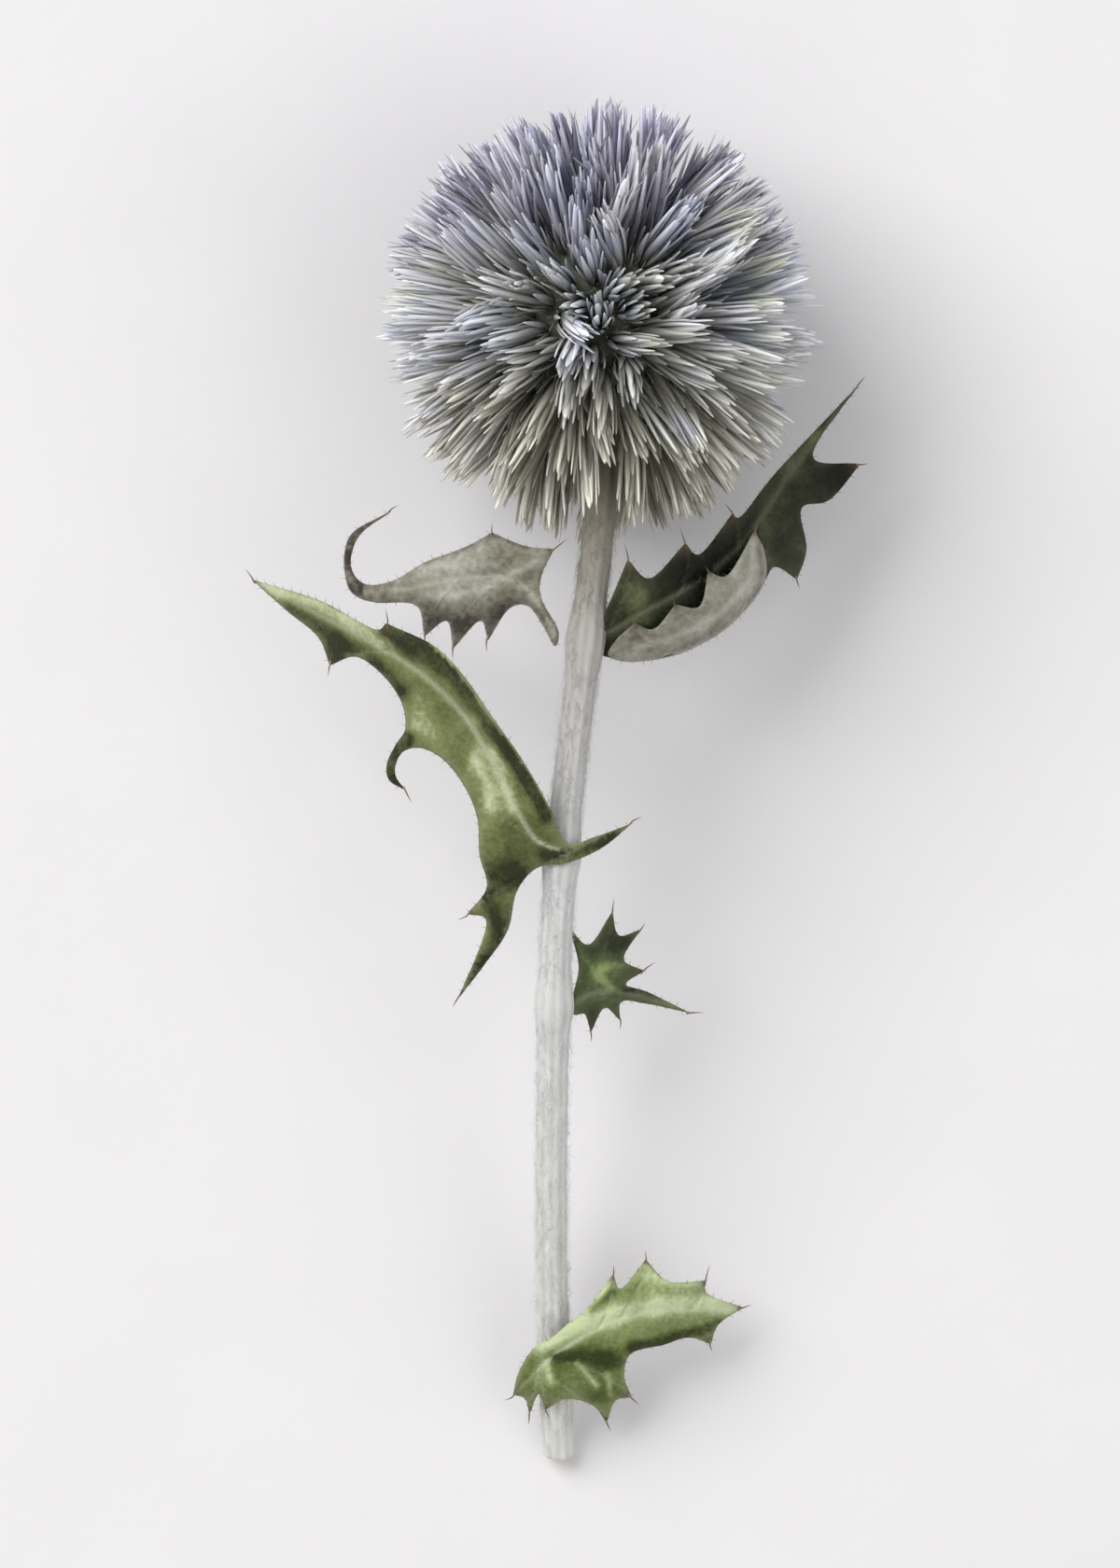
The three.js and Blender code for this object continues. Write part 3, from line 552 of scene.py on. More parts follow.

# %% [markdown]
# ## Drawing the leaves
#
# A dried thistle leaf is too twisted for a neat grid, so each one is drawn as it lies: the
# corners of its outline and the run of its midrib, with a height for every point. All are in
# millimetres from the low corner of the leaf's box in the frame. SPINE marks the corners that
# end in a spine. The outline breaks there and flows smoothly through the others. Under patches
# stands where the blade is painted paler or darker, partly for its colour from drying and partly
# as painted highlight and painted shade: a place, how far the patch reaches and its tone, from -1
# for the darkest to 1 for the palest. Strokes do the same along a line, for painted highlights on
# ridges and margins and painted shade in the folds beside them.
#
# The upper right leaf has rolled over along its lower edge, and shows the felt of its underside.
# The rolled part is a second drawing, measured from the same corner.

# %% Draw the leaves
SPINE = True
LEAF_DRAWINGS = {
    "leaf_upper_right": {
        "outline": [
            (-1.2, 3, 12.4), (0.2, 6, 13.4), (1.8, 9.8, 13.4, SPINE), (4, 8, 12.8),
            (7.4, 11.4, 11.2, SPINE), (8.9, 10.4, 11), (12, 14.3, 8.4, SPINE), (13, 14.2, 7.7),
            (16.4, 18.5, 5.4), (24.4, 27, 1.4, SPINE), (19.9, 20.1, 3.7), (24.6, 19.3, 0.4, SPINE),
            (21.6, 15.8, 1.8), (18.8, 14.9, 3.4), (19.3, 11, 1.8), (18.4, 8, 1, SPINE),
            (16.2, 9.2, 4.2), (15, 7.6, 5), (11.8, 3.6, 7), (7.4, 1, 9.4), (2.8, 0, 11.2),
            (-1.3, 0.8, 11.8),
        ],
        "midrib": [
            (-1.3, 2, 12.3), (3, 4.6, 12.6), (8, 7.4, 11), (13, 11.6, 7.4), (17.2, 17.6, 4.7),
            (20.4, 21.8, 3.4), (24.4, 27, 1.4),
        ],
        "patches": [
            (9, 9.5, 3.4, -1), (12.5, 13.8, 2, -0.5), (23, 17.5, 3.2, -1), (2.6, 5.5, 2, 0.8),
            (3.7, 9.4, 0.9, 0.9),
        ],
        "strokes": [
            ([(14.8, 9), (15.2, 14), (17.6, 18.6), (20.2, 21.8)], 1.1, 0.55),
            ([(20.2, 21.8), (22.2, 24.2), (24.4, 27)], 0.6, 0.6),
        ],
    },
    "leaf_upper_left": {
        "outline": [
            (21.2, 1.8, 7.1), (19.6, 4.8, 8.1), (19.6, 7, 8.5), (20.8, 9.6, 8.7, SPINE), (18, 9.9, 8.3),
            (14.8, 11.2, 6.9, SPINE), (12.2, 9.8, 6.6), (8.4, 8.4, 4.9), (5.4, 6.7, 3.4), (2.8, 6.2, 2.3),
            (1.35, 7.2, 1.6), (1.05, 9, 1.3), (2, 11.2, 0.8), (4.9, 13.4, 0.3, SPINE), (1.3, 11.4, 0.7),
            (0.4, 9.2, 1), (0.55, 6.8, 1.4), (1.3, 5.3, 1.8), (3.4, 4.5, 2.3), (7.4, 4.2, 3.9),
            (8.2, 1.2, 2.5, SPINE), (10.4, 2.7, 3.9), (11, 0, 2.6, SPINE), (13.6, 2.7, 4.8),
            (14.4, 0.8, 4.1, SPINE), (16.4, 3.8, 6.1), (18.3, 4.1, 6.8), (19.8, 2.1, 6.9), (20.9, 0.2, 6.6),
        ],
        "midrib": [
            (21.1, 1, 6.9), (18.9, 5, 7.7), (15.8, 6.9, 7.6), (11.2, 6.7, 6.2), (6.2, 5.8, 4),
            (1.8, 5.8, 2.1), (0.5, 8.6, 1.3), (2, 11.6, 0.9), (4.9, 13.4, 0.3),
        ],
        "patches": [
            (10.5, 7.6, 2.6, 0.5), (17, 7.6, 2.6, -0.3), (1.4, 5.6, 1.2, -0.5), (20, 3, 2, -0.4),
        ],
        "strokes": [
            ([(4.9, 13.4), (2, 11.8), (0.7, 9.8), (0.8, 7.4), (1.1, 6.4)], 1, -2.4),
            ([(3, 5.2), (6, 5), (8.5, 4.6)], 1, -0.35),
            ([(8.4, 2.8), (11, 2.4), (14, 2.6), (17, 4)], 1.3, -1),
            ([(8, 5), (12, 5.3), (15.5, 6.6), (19, 8.4)], 0.4, 0.6),
            ([(8.4, 8.4), (12.2, 9.8), (14.8, 11.2), (18, 9.9)], 0.35, -0.8),
        ],
    },
    "leaf_mid_left": {
        "outline": [
            (36.4, 17.2, 10.7, SPINE), (32.8, 15.9, 11.4), (30, 15.3, 11.6), (28.4, 18.8, 14.2),
            (25.8, 23.3, 15.2), (23, 27.3, 15.5), (20, 31.6, 14.7), (17.2, 34.4, 13.3),
            (12.6, 36.6, 11, SPINE), (11.2, 36.1, 9.8), (6, 38.9, 5.4), (-0.7, 41, 0.4, SPINE),
            (2.8, 37.9, 1.8), (5.8, 35.4, 3.8), (7, 32.6, 4, SPINE), (9.6, 33.4, 6.8), (12.2, 31.6, 8.2),
            (14, 29, 9), (14.4, 26.4, 8.9), (13.5, 24.9, 8.5), (12.6, 23, 7.6), (12.8, 21.4, 6.8),
            (14.4, 20.4, 6.4, SPINE), (13.5, 21.6, 7), (13.4, 22.8, 7.8), (14.2, 24.2, 8.8),
            (16, 24.5, 9.6), (18.2, 23.3, 10.6), (20.2, 20.7, 11.6), (21.4, 17.7, 11.8),
            (21.6, 14.2, 11.2), (22.3, 11, 10.4), (20.4, 8.4, 9, SPINE), (22.2, 7.9, 9.4),
            (21.7, 5.4, 8.4), (19.4, 0, 5.2, SPINE), (22, 3.4, 7.2), (24.3, 6.8, 9.2),
            (25.2, 10.6, 10.8), (27.2, 12.9, 11.1), (30.2, 13.4, 11.3), (33.4, 14.8, 11.1),
        ],
        "midrib": [
            (30, 14.3, 11.4), (27.2, 15.6, 11.7), (25.4, 18.2, 12.7), (23.2, 22.4, 13), (20.3, 27.5, 12.8),
            (15.8, 31.9, 11.2), (10.4, 35.2, 8.2), (5.1, 38, 4.2), (-0.7, 41, 0.4),
        ],
        "patches": [
            (15.8, 27.4, 1.8, 0.5), (18.5, 29.5, 1.8, -0.2), (21.5, 27.4, 0.7, 1), (24.5, 12.5, 3.2, -0.9),
            (7.4, 33.4, 1.5, -1), (35, 16.4, 2.2, -0.3),
        ],
        "strokes": [
            ([(0, 40.7), (6.2, 38.3), (12, 35)], 0.7, 1.1),
            ([(3, 38.2), (7, 35.6), (12, 32.4), (14, 30)], 0.8, -0.8),
            ([(12.6, 36.2), (15, 34.8), (17.6, 33)], 1.1, -1.6),
            ([(17.6, 33), (19.8, 30.6), (22.2, 27.2), (24.6, 23.9), (26.6, 20.8), (28, 18)], 0.55, -2),
            ([(16.8, 35), (20.2, 31.8), (23.2, 27.5), (26, 23.5), (28.5, 19)], 0.22, 2.4),
            ([(21.2, 23.5), (22.4, 21), (22.6, 18.8)], 0.9, 0.9),
            ([(22.9, 24), (24.2, 21.2), (24.8, 18.6)], 0.6, 0.7),
            ([(14.4, 25.4), (13, 23.6), (13, 21.8), (14.4, 20.4)], 0.8, -2.4),
            ([(22.4, 10), (23.4, 6.4), (21.8, 3.2), (19.6, 0)], 0.8, -0.9),
            ([(28, 14.2), (31.4, 14.6), (34.4, 15.6)], 0.7, -0.9),
        ],
    },
    "leaf_mid_right": {
        "outline": [
            (0.4, 3.8, 9.2), (0.9, 6.6, 9.4), (-0.1, 10.5, 8.9, SPINE), (1.9, 8.6, 9.1),
            (4.2, 11.8, 7.7, SPINE), (4.8, 9.5, 7.5), (6.9, 10, 5.9, SPINE), (5.3, 7.2, 7.1),
            (7.3, 6, 4.9, SPINE), (5.5, 4.7, 6.1), (7.7, 3.9, 4.3), (11.9, 1.8, 0.5, SPINE),
            (7.4, 2.8, 3.9), (5.1, 3, 5.5), (4.9, 1.2, 4.1, SPINE), (3.4, 2.4, 6.3), (2.1, 0, 5.1, SPINE),
            (1.5, 1.8, 7.3), (0.4, 1.8, 8.1),
        ],
        "midrib": [
            (0.3, 2.8, 8.6), (2, 3.8, 8.2), (4.3, 4.1, 6.9), (7.3, 3.4, 4.5), (11.9, 1.8, 0.5),
        ],
        "patches": [
            (2.8, 5.6, 1.3, 0.6), (4.8, 9.4, 1.8, -1), (2.2, 1.4, 1.2, -0.5),
        ],
        "strokes": [
            ([(2.4, 6), (3.6, 4.8), (4.8, 3.9)], 0.3, 0.9),
            ([(2.4, 6), (4.2, 6.6), (5.6, 6.6)], 0.3, 0.6),
            ([(2.4, 6), (1.4, 7.4), (0.6, 9)], 0.3, 0.5),
            ([(4.6, 4), (6.9, 4.2), (8.6, 3.6)], 0.4, -1),
            ([(8.6, 3.2), (11.9, 1.8)], 0.6, 0.6),
        ],
    },
    "leaf_lower_right": {
        "outline": [
            (0, 2.8, 1.5, SPINE), (0.6, 5.2, 3.9), (2.1, 7.6, 6.5), (3.8, 8.6, 7.4), (5.4, 10, 7.9),
            (7.2, 11.4, 7.9), (9.8, 14.8, 7.1, SPINE), (10.6, 13.4, 7.7), (13, 16.2, 6.7, SPINE),
            (15.2, 14.1, 6.9), (18.9, 14.1, 4.9, SPINE), (19.1, 12.8, 5.3), (22.6, 11.4, 2.9, SPINE),
            (20.2, 9.8, 3.3), (19.4, 7.8, 2.3, SPINE), (17.2, 8.5, 3.9), (14.7, 7.8, 4.7), (11.6, 7, 5.3),
            (10.9, 4.8, 4.1), (11.6, 2.6, 2.3, SPINE), (10, 2.2, 2.7), (9.2, 0, 0.5, SPINE),
            (7.8, 1.8, 2.5), (5.2, 2.5, 5.2), (3.2, 1.4, 3.3, SPINE), (2.5, 3, 5), (1.6, 0.8, 0.7, SPINE),
            (1.2, 2.4, 2.1),
        ],
        "midrib": [
            (2.6, 5.6, 6.2), (5.8, 8.1, 7.5), (9.9, 10.3, 7.4), (13.9, 11.2, 6.9), (17.9, 11.3, 5.3),
            (22.6, 11.4, 2.9),
        ],
        "patches": [
            (13.5, 13.8, 2.2, 0.2), (8.6, 4.4, 2.6, -0.5), (2, 3, 1.8, -0.4),
        ],
        "strokes": [
            ([(3.2, 8), (6.4, 9.9), (12.4, 11.3), (16.4, 12), (22.2, 11.4)], 1.1, 1),
            ([(3.6, 8.5), (7, 11.2), (9.8, 14.6)], 0.35, 1.2),
            ([(6, 10.8), (8.4, 12), (10, 13.2)], 0.5, -0.9),
            ([(12.8, 15.8), (15.2, 14), (18.9, 13.9)], 0.45, 0.8),
            ([(11.6, 7.6), (14.7, 8.2), (17.2, 8.9), (20.4, 9.9)], 0.6, -1.3),
            ([(4, 6.6), (7.2, 6.9), (10.2, 6.4)], 0.9, -1),
            ([(6.2, 6.2), (8.2, 3.8)], 0.28, 1),
            ([(3.3, 6.2), (3.8, 4.2)], 0.35, 0.9),
            ([(9.2, 5), (9.5, 2.8)], 0.28, 0.8),
        ],
    },
}
TURNED_EDGE = {
    "outline": [
        (14.2, 12.8, 7, SPINE), (15.2, 10.4, 5.8), (15, 7.4, 5.2), (11.8, 3.5, 7.2), (7.4, 0.9, 9.6),
        (2.8, -0.1, 11.4), (0, 0.4, 12.2), (0.6, 1.9, 13.2), (2.4, 3.6, 14, SPINE), (4.4, 3.1, 13.2),
        (6.4, 5.4, 13.4, SPINE), (8.8, 5.3, 11.7), (9.6, 8.6, 12.2, SPINE), (11.6, 8.4, 10.4),
    ],
    "midrib": [
        (14.2, 12.8, 7), (13.6, 8.6, 9.2), (11.2, 5, 10.4), (7, 2.6, 12), (2.8, 1.4, 13),
    ],
    "patches": [(3.4, 2.2, 2, -0.4)],
    "strokes": [
        ([(14, 12.2), (14.2, 9), (12.4, 6.2), (8, 3.2), (3, 1.4)], 0.5, 0.4),
        ([(14.4, 11), (14.9, 7.8), (12, 4), (7.4, 1.4)], 0.4, -0.5),
    ],
}
print("leaves drawn:", ", ".join(LEAF_DRAWINGS))

# %% [markdown]
# ## Filling an outline
#
# An outline becomes a surface in two steps. First it is filled with an even net of triangles:
# points are scattered inside it in a honeycomb, and Blender's Delaunay routine joins them up
# without crossing the outline. Then every point is given a height. The smoothest sheet through
# a few known heights is called a thin-plate spline. It bends as a thin steel plate would, and
# finding it is one small matrix to solve.

# %% Helpers that fill and bend a sheet
ROW_SPACING = 0.87
EDGE_ROOM = 0.6


def smooth_outline(corners, spacing):
    """Close points all along a closed outline, sharp at the spines and smooth elsewhere."""
    places = np.array([corner[:3] for corner in corners])
    sharp = np.array([len(corner) > 3 for corner in corners])
    breaks = np.flatnonzero(sharp)
    count = len(corners)
    runs = []
    for start, stop in zip(breaks, [*breaks[1:], breaks[0] + count]):
        run = places[np.arange(start, stop + 1) % count]
        length = np.linalg.norm(np.diff(run, axis=0), axis=1).sum()
        steps = max(int(length / spacing), 2)
        line = np.linspace(run[0], run[-1], steps + 1)
        if len(run) > 2:
            line = smooth_route(run, steps + 1)[0]
        runs.append(line[:-1])
    return np.concatenate(runs), places[sharp]


def fill_outline(edge, spacing):
    """A net of triangles inside a flat outline, with the outline's points first."""
    low, high = edge.min(axis=0), edge.max(axis=0)
    rows = np.arange(low[1], high[1], spacing * ROW_SPACING)
    honeycomb = np.array([
        (x + spacing / 2 * (row % 2), y)
        for row, y in enumerate(rows) for x in np.arange(low[0], high[0], spacing)
    ])
    following = np.roll(edge, -1, axis=0)
    x, y = honeycomb[:, :1], honeycomb[:, 1:]
    spans = (edge[:, 1] > y) != (following[:, 1] > y)
    rise = np.where(following[:, 1] == edge[:, 1], 1e-9, following[:, 1] - edge[:, 1])
    crossing = edge[:, 0] + (y - edge[:, 1]) / rise * (following[:, 0] - edge[:, 0])
    inside = (spans & (x < crossing)).sum(axis=1) % 2 == 1
    apart = np.linalg.norm(honeycomb[:, None] - edge[None], axis=2).min(axis=1)
    points = np.concatenate([edge, honeycomb[inside & (apart > spacing * EDGE_ROOM)]])
    loop = list(range(len(edge)))
    net = delaunay_2d_cdt([Vector(point) for point in points], [], [loop], 1, 1e-6)
    return np.array([tuple(point) for point in net[0]]), np.array(net[2])


def bend_sheet(known, places, softness=0.6):
    """Heights of places on the smoothest sheet that passes close to the known points."""
    def pull(a, b):
        squared = ((a[:, None] - b[None]) ** 2).sum(axis=2)
        return squared * np.log(squared + 1e-9)

    count = len(known)
    flat = np.column_stack([np.ones(count), known[:, :2]])
    matrix = np.zeros((count + 3, count + 3))
    matrix[:count, :count] = pull(known[:, :2], known[:, :2]) + softness * np.eye(count)
    matrix[:count, count:] = flat
    matrix[count:, :count] = flat.T
    weights = np.linalg.solve(matrix, np.append(known[:, 2], [0, 0, 0]))
    return pull(places, known[:, :2]) @ weights[:count] + weights[count] + places @ weights[count + 1:]


def nearest_on(line, places):
    """How far each place is from a line of points, and which of them is nearest."""
    apart = np.linalg.norm(places[:, None] - line[None], axis=2)
    return apart.min(axis=1), apart.argmin(axis=1)


# %% [markdown]
# ## Laying out a blade
#
# The blade gets its details from distances, to the midrib, the side veins, the margin and the
# spines. A side vein leaves the midrib short of its spine and bends forwards to it. All of the
# distances are measured once, on the flat net, and so is the tone that the drawing's patches and
# strokes give each point.

# %% Helpers that lay out a blade
NET_SPACING = 0.32
EDGE_SPACING = 0.26
VEIN_LEAN = 0.35
SHORTEST_VEIN = 1.0
FULL_LEAN_AT = 12


def lay_out_blade(drawing):
    """A blade's net of triangles, all facing up, and the lines that its details follow."""
    edge, spines = smooth_outline(drawing["outline"], EDGE_SPACING)
    midrib = smooth_route(drawing["midrib"], 160)[0]
    flat, triangles = fill_outline(edge[:, :2], NET_SPACING)
    a, b, c = (flat[triangles[:, k]] for k in range(3))
    turned = np.cross(b - a, c - a) < 0
    triangles[turned] = triangles[turned][:, ::-1]
    return flat, triangles, edge, midrib, spines


def side_veins(midrib, spines):
    """A line of points from the midrib to each spine, leaning forwards."""
    veins = []
    for spine in spines:
        apart = np.linalg.norm(midrib[:, :2] - spine[:2], axis=1)
        if apart.min() < SHORTEST_VEIN:
            continue
        back = int(len(midrib) * VEIN_LEAN * apart.min() / FULL_LEAN_AT)
        start = midrib[max(apart.argmin() - back, 0)]
        bend = (start + spine) / 2 + (midrib[apart.argmin()] - start) * VEIN_LEAN
        s = np.linspace(0, 1, 24)[:, None]
        veins.append((1 - s) ** 2 * start + 2 * s * (1 - s) * bend + s ** 2 * spine)
    return veins


def measure_blade(flat, edge, midrib, spines):
    """How far each point is from each kind of line, and its run along edge and midrib."""
    from_edge, edge_place = nearest_on(edge[:, :2], flat)
    from_rib, rib_place = nearest_on(midrib[:, :2], flat)
    veins = side_veins(midrib, spines)
    return {
        "edge": from_edge,
        "rib": from_rib,
        "vein": np.min([nearest_on(vein[:, :2], flat)[0] for vein in veins], axis=0),
        "spine": nearest_on(spines[:, :2], flat)[0],
        "edge run": edge_place * EDGE_SPACING,
        "rib run": rib_place / (len(midrib) - 1),
    }


def draw_tone(drawing, flat):
    """How pale or dark each point is, from -1 to 1, by the drawing's patches and strokes,
    which paint highlight and shade as well as drying colour.
    """
    tone = np.zeros(len(flat))
    for place_x, place_y, reach, strength in drawing["patches"]:
        tone += strength * bell(np.hypot(flat[:, 0] - place_x, flat[:, 1] - place_y), reach)
    for line, reach, strength in drawing["strokes"]:
        tone += strength * bell(nearest_on(smooth_route(line, 80)[0], flat)[0], reach)
    return np.clip(tone, -1, 1)


# %% [markdown]
# ## Shaping the two faces
#
# The midrib and the veins are sunk in the upper face and stand out below, the blade swells
# between them, and drying has ruffled its margin and curled it up or down. Two slow waves keep
# it from looking pressed. A sculpted relief could do the same, but a formula of the distances
# suits every leaf at once. The numbers are in millimetres, apart from the thinning, which is a
# share, and the turns, which say how fast the ruffle goes up and down along the margin.

# %% Helpers that shape the two faces
BLADE_THICKNESS = 0.22
MARGIN_THINNING = 0.6
RIB_SUNK = 0.22
VEIN_SUNK = 0.05
BLADE_SWELLING = 0.16
RUFFLE_TURNS = 1.9
CURLED_STRIP = 0.8
SLOW_WAVES = 0.10
RIB_BELOW = 0.42
VEIN_BELOW = 0.10


def sheet_heights(drawing, flat, away, ruffle, curl, seed):
    """The height of each point: the bent sheet, with its sunk lines, swellings and waves."""
    known = np.array([corner[:3] for corner in [*drawing["outline"], *drawing["midrib"][:-1]]])
    height = bend_sheet(known, flat)
    height -= RIB_SUNK * bell(away["rib"], 0.45) * (1 - 0.7 * away["rib run"])
    height -= VEIN_SUNK * bell(away["vein"], 0.22)
    height += BLADE_SWELLING * (1 - bell(np.minimum(away["vein"], away["rib"]), 0.9))
    wave = np.sin(away["edge run"] * RUFFLE_TURNS + seed) * (1 - fade(away["spine"], 1))
    height += ruffle * fade(away["edge"], 0.9) * wave
    height += curl * np.clip(1 - away["edge"] / CURLED_STRIP, 0, 1) ** 2
    x, y = flat.T
    height += SLOW_WAVES * np.sin(x * 1.3 + seed) * np.sin(y * 1.1 + 2 * seed)
    return height


def sheet_normals(points, triangles):
    """The direction that the sheet faces at each point."""
    a, b, c = (points[triangles[:, k]] for k in range(3))
    flat = np.cross(b - a, c - a)
    normals = np.zeros_like(points)
    for k in range(3):
        np.add.at(normals, triangles[:, k], flat)
    return unit(normals)


def two_faces(sheet, triangles, away):
    """The corners of the upper face, then those of the lower face with its raised lines."""
    normals = sheet_normals(sheet, triangles)
    half = BLADE_THICKNESS / 2 * (1 - MARGIN_THINNING * fade(away["edge"], 0.3))
    ridge = RIB_BELOW * bell(away["rib"], 0.3) * (1 - 0.75 * away["rib run"])
    ridge = (ridge + VEIN_BELOW * bell(away["vein"], 0.2)) * np.clip(away["edge"] / 0.5, 0, 1)
    upper = sheet + normals * half[:, None]
    lower = sheet - normals * (half + ridge)[:, None]
    return np.concatenate([upper, lower])


# %% [markdown]
# ## Making a leaf
#
# A leaf is closed like any real thing: an upper face, a lower face a fifth of a millimetre
# under it, and a wall round the edge. The upper face has the first material slot, and the lower
# face and the wall have the second. Where a blade would run into the stalk, it is moved out.

# %% A helper that makes a leaf
LEAF_CLEARANCE = 0.2 * MM
STALK_ROOM = 1.08


def rim_edges(triangles):
    """The directed edges that only one triangle has."""
    edges = {(int(t[k]), int(t[(k + 1) % 3])) for t in triangles for k in range(3)}
    return [(a, b) for a, b in edges if (b, a) not in edges]


def clear_of_stalk(corners):
    """Corners inside the stalk's skin, moved straight out of it."""
    apart = np.linalg.norm(corners[:, None] - stalk_line[None, ::2], axis=2)
    nearest = stalk_line[::2][apart.argmin(axis=1)]
    apart = apart.min(axis=1)
    room = STALK_RADIUS * STALK_ROOM
    out = unit(corners - nearest)
    return np.where((apart < room)[:, None], nearest + out * room, corners)


def make_leaf(name, node, drawing, ruffle, curl, seed):
    """The leaf, and its spines, its edge and its midrib as points in metres."""
    low = np.array(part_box(node)[0]) / MM
    flat, triangles, edge, midrib, spines = lay_out_blade(drawing)
    away = measure_blade(flat, edge, midrib, spines)
    sheet = np.column_stack([flat, sheet_heights(drawing, flat, away, ruffle, curl, seed)])
    corners = clear_of_stalk((two_faces(sheet, triangles, away) + low) * MM)
    corners[:, 2] = np.maximum(corners[:, 2], LEAF_CLEARANCE)
    count = len(sheet)
    rim = [(b, a, count + a, count + b) for a, b in rim_edges(triangles)]
    faces = triangles.tolist() + (triangles[:, ::-1] + count).tolist() + rim
    facts = {
        "rib": bell(away["rib"], 0.28) * (1 - 0.6 * away["rib run"]),
        "vein": bell(away["vein"], 0.17),
        "margin": fade(away["edge"], 0.28),
        "spine": bell(away["spine"], 0.9),
        "tone": draw_tone(drawing, flat),
    }
    leaf = make_piece(name, corners, faces, {fact: np.tile(v, 2) for fact, v in facts.items()})
    leaf.data.materials.append(None)
    leaf.data.materials.append(None)
    slots = np.repeat([0, 1, 1], [len(triangles), len(triangles), len(rim)])
    leaf.data.polygons.foreach_set("material_index", slots)
    return leaf, (spines + low) * MM, (edge + low) * MM, (midrib + low) * MM


# %% [markdown]
# Five leaves grow on this stretch of stalk. The upper two lie under the ball, one green side up
# with a rolled edge, and one felt side up with a hooked tip. The long one reaches out to the
# left over the stalk, and two short ones stand to the right. How much each margin ruffles, and
# how far it curls up or down, are in millimetres.

# %% Make the five leaves
RUFFLE_AND_CURL = {
    "leaf_upper_right": (0.30, 0.0), "leaf_upper_left": (0.16, -0.35), "leaf_mid_left": (0.12, -0.30),
    "leaf_mid_right": (0.20, 0.0), "leaf_lower_right": (0.22, -0.15),
}
leaves = {}
leaf_lines = []
for order, (node, drawing) in enumerate(LEAF_DRAWINGS.items()):
    ruffle, curl = RUFFLE_AND_CURL[node]
    blade_name = node.replace("leaf", "blade")
    leaf, *lines = make_leaf(blade_name, node, drawing, ruffle, curl, seed=order * 1.7)
    leaves[leaf] = node
    leaf_lines.append(lines)
turned_edge, *lines = make_leaf(
    "blade_turned_edge", "leaf_upper_right", TURNED_EDGE, ruffle=0.1, curl=-0.2, seed=4.0)
leaves[turned_edge] = "leaf_upper_right"
leaf_lines.append(lines)
print(sum(len(spines) for spines, edge, midrib in leaf_lines), "corners end in a spine")

# %% [markdown]
# ## Spines and prickles
#
# Every lobe ends in a stiff straw spine with a dark point, and short prickles stand along the
# margin between them. They are needles again. A spine carries on from the lobe in the direction
# away from the midrib, and a prickle stands out from the margin and leans towards the leaf's tip.
# Their lengths and widths are in millimetres, like everything else on the leaves.

# %% Grow the spines and the prickles
SPINE_LENGTH = (0.9, 1.8)
SPINE_ROOT = 0.5
SPINE_HALF_WIDTH = 0.15
LOBE_REACH = 1.6
PRICKLE_LENGTH = (0.25, 0.6)
PRICKLE_ROOT = 0.1
PRICKLE_HALF_WIDTH = 0.05
PRICKLE_EVERY = 4
SPINE_PROFILE = [(0.0, 1.0, 0.9), (0.4, 0.75, 0.9), (0.8, 0.3, 0.9)]


def spine_line(spine, edge, midrib, draw):
    """The root and the tip of a spine that carries on from its lobe."""
    rib = midrib[np.linalg.norm(midrib - spine, axis=1).argmin()]
    lobe = edge[np.linalg.norm(edge - spine, axis=1) < LOBE_REACH * MM].mean(axis=0)
    away = unit(unit(spine - rib + 1e-9) + 2 * unit(spine - lobe))
    return spine - away * SPINE_ROOT * MM, spine + away * draw.uniform(*SPINE_LENGTH) * MM


def prickle_line(place, edge, midrib, draw):
    """The root and the tip of a prickle at one point of the margin."""
    along = unit(edge[place + 2] - edge[place - 2])
    outward = unit(np.cross(along, [0, 0, 1.0]))
    rib = midrib[np.linalg.norm(midrib - edge[place], axis=1).argmin()]
    if outward @ (edge[place] - rib) < 0:
        outward = -outward
    forward = unit(midrib[-1] - midrib[0])
    lean = unit(outward + 0.7 * forward + draw.normal(0, 0.35, 3))
    length = draw.uniform(*PRICKLE_LENGTH)
    return edge[place] - lean * PRICKLE_ROOT * MM, edge[place] + lean * length * MM


def grow_spines():
    """All the spines and prickles of all the leaves, in one piece."""
    draw = np.random.default_rng(5)
    lines, widths = [], []
    for spines, edge, midrib in leaf_lines:
        for spine in spines:
            lines.append(spine_line(spine, edge, midrib, draw))
            widths.append(SPINE_HALF_WIDTH * MM)
        for place in range(2, len(edge) - 2, PRICKLE_EVERY):
            lines.append(prickle_line(place, edge, midrib, draw))
            widths.append(PRICKLE_HALF_WIDTH * MM)
    roots, tips = np.array(lines).transpose(1, 0, 2)
    sideways = unit(np.cross(tips - roots, [0.2, 0.3, 1.0]))
    bend = draw.normal(0, 0.12, len(roots)) * np.linalg.norm(tips - roots, axis=1)
    middles = (roots + tips) / 2 + sideways * bend[:, None]
    facts = {"tint": draw.uniform(0, 1, len(roots))}
    return needles(
        "leaf_spines", roots, middles, tips, sideways, np.array(widths), SPINE_PROFILE, facts)


leaf_spines = grow_spines()

# %% [markdown]
# ## Wool
#
# Stalks of this thistle are covered in a thin grey wool, like cobweb. Blender's hair would be
# lost on export, so the wool is made of real, very thin needles, measured in millimetres. Each
# lies almost flat along the stalk and bends away from it in the middle.

# %% Grow wool on the stalk
HAIRS = 5200
HAIR_LENGTH = (0.8, 2.2)
HAIR_LIFT = (0.08, 0.32)
HAIR_HALF_WIDTH = (0.010, 0.020)
HAIR_ROOT_SHARE = 0.96
HAIR_PROFILE = [(0.0, 1.0, 0.8), (0.35, 1.0, 0.8), (0.7, 0.8, 0.8)]


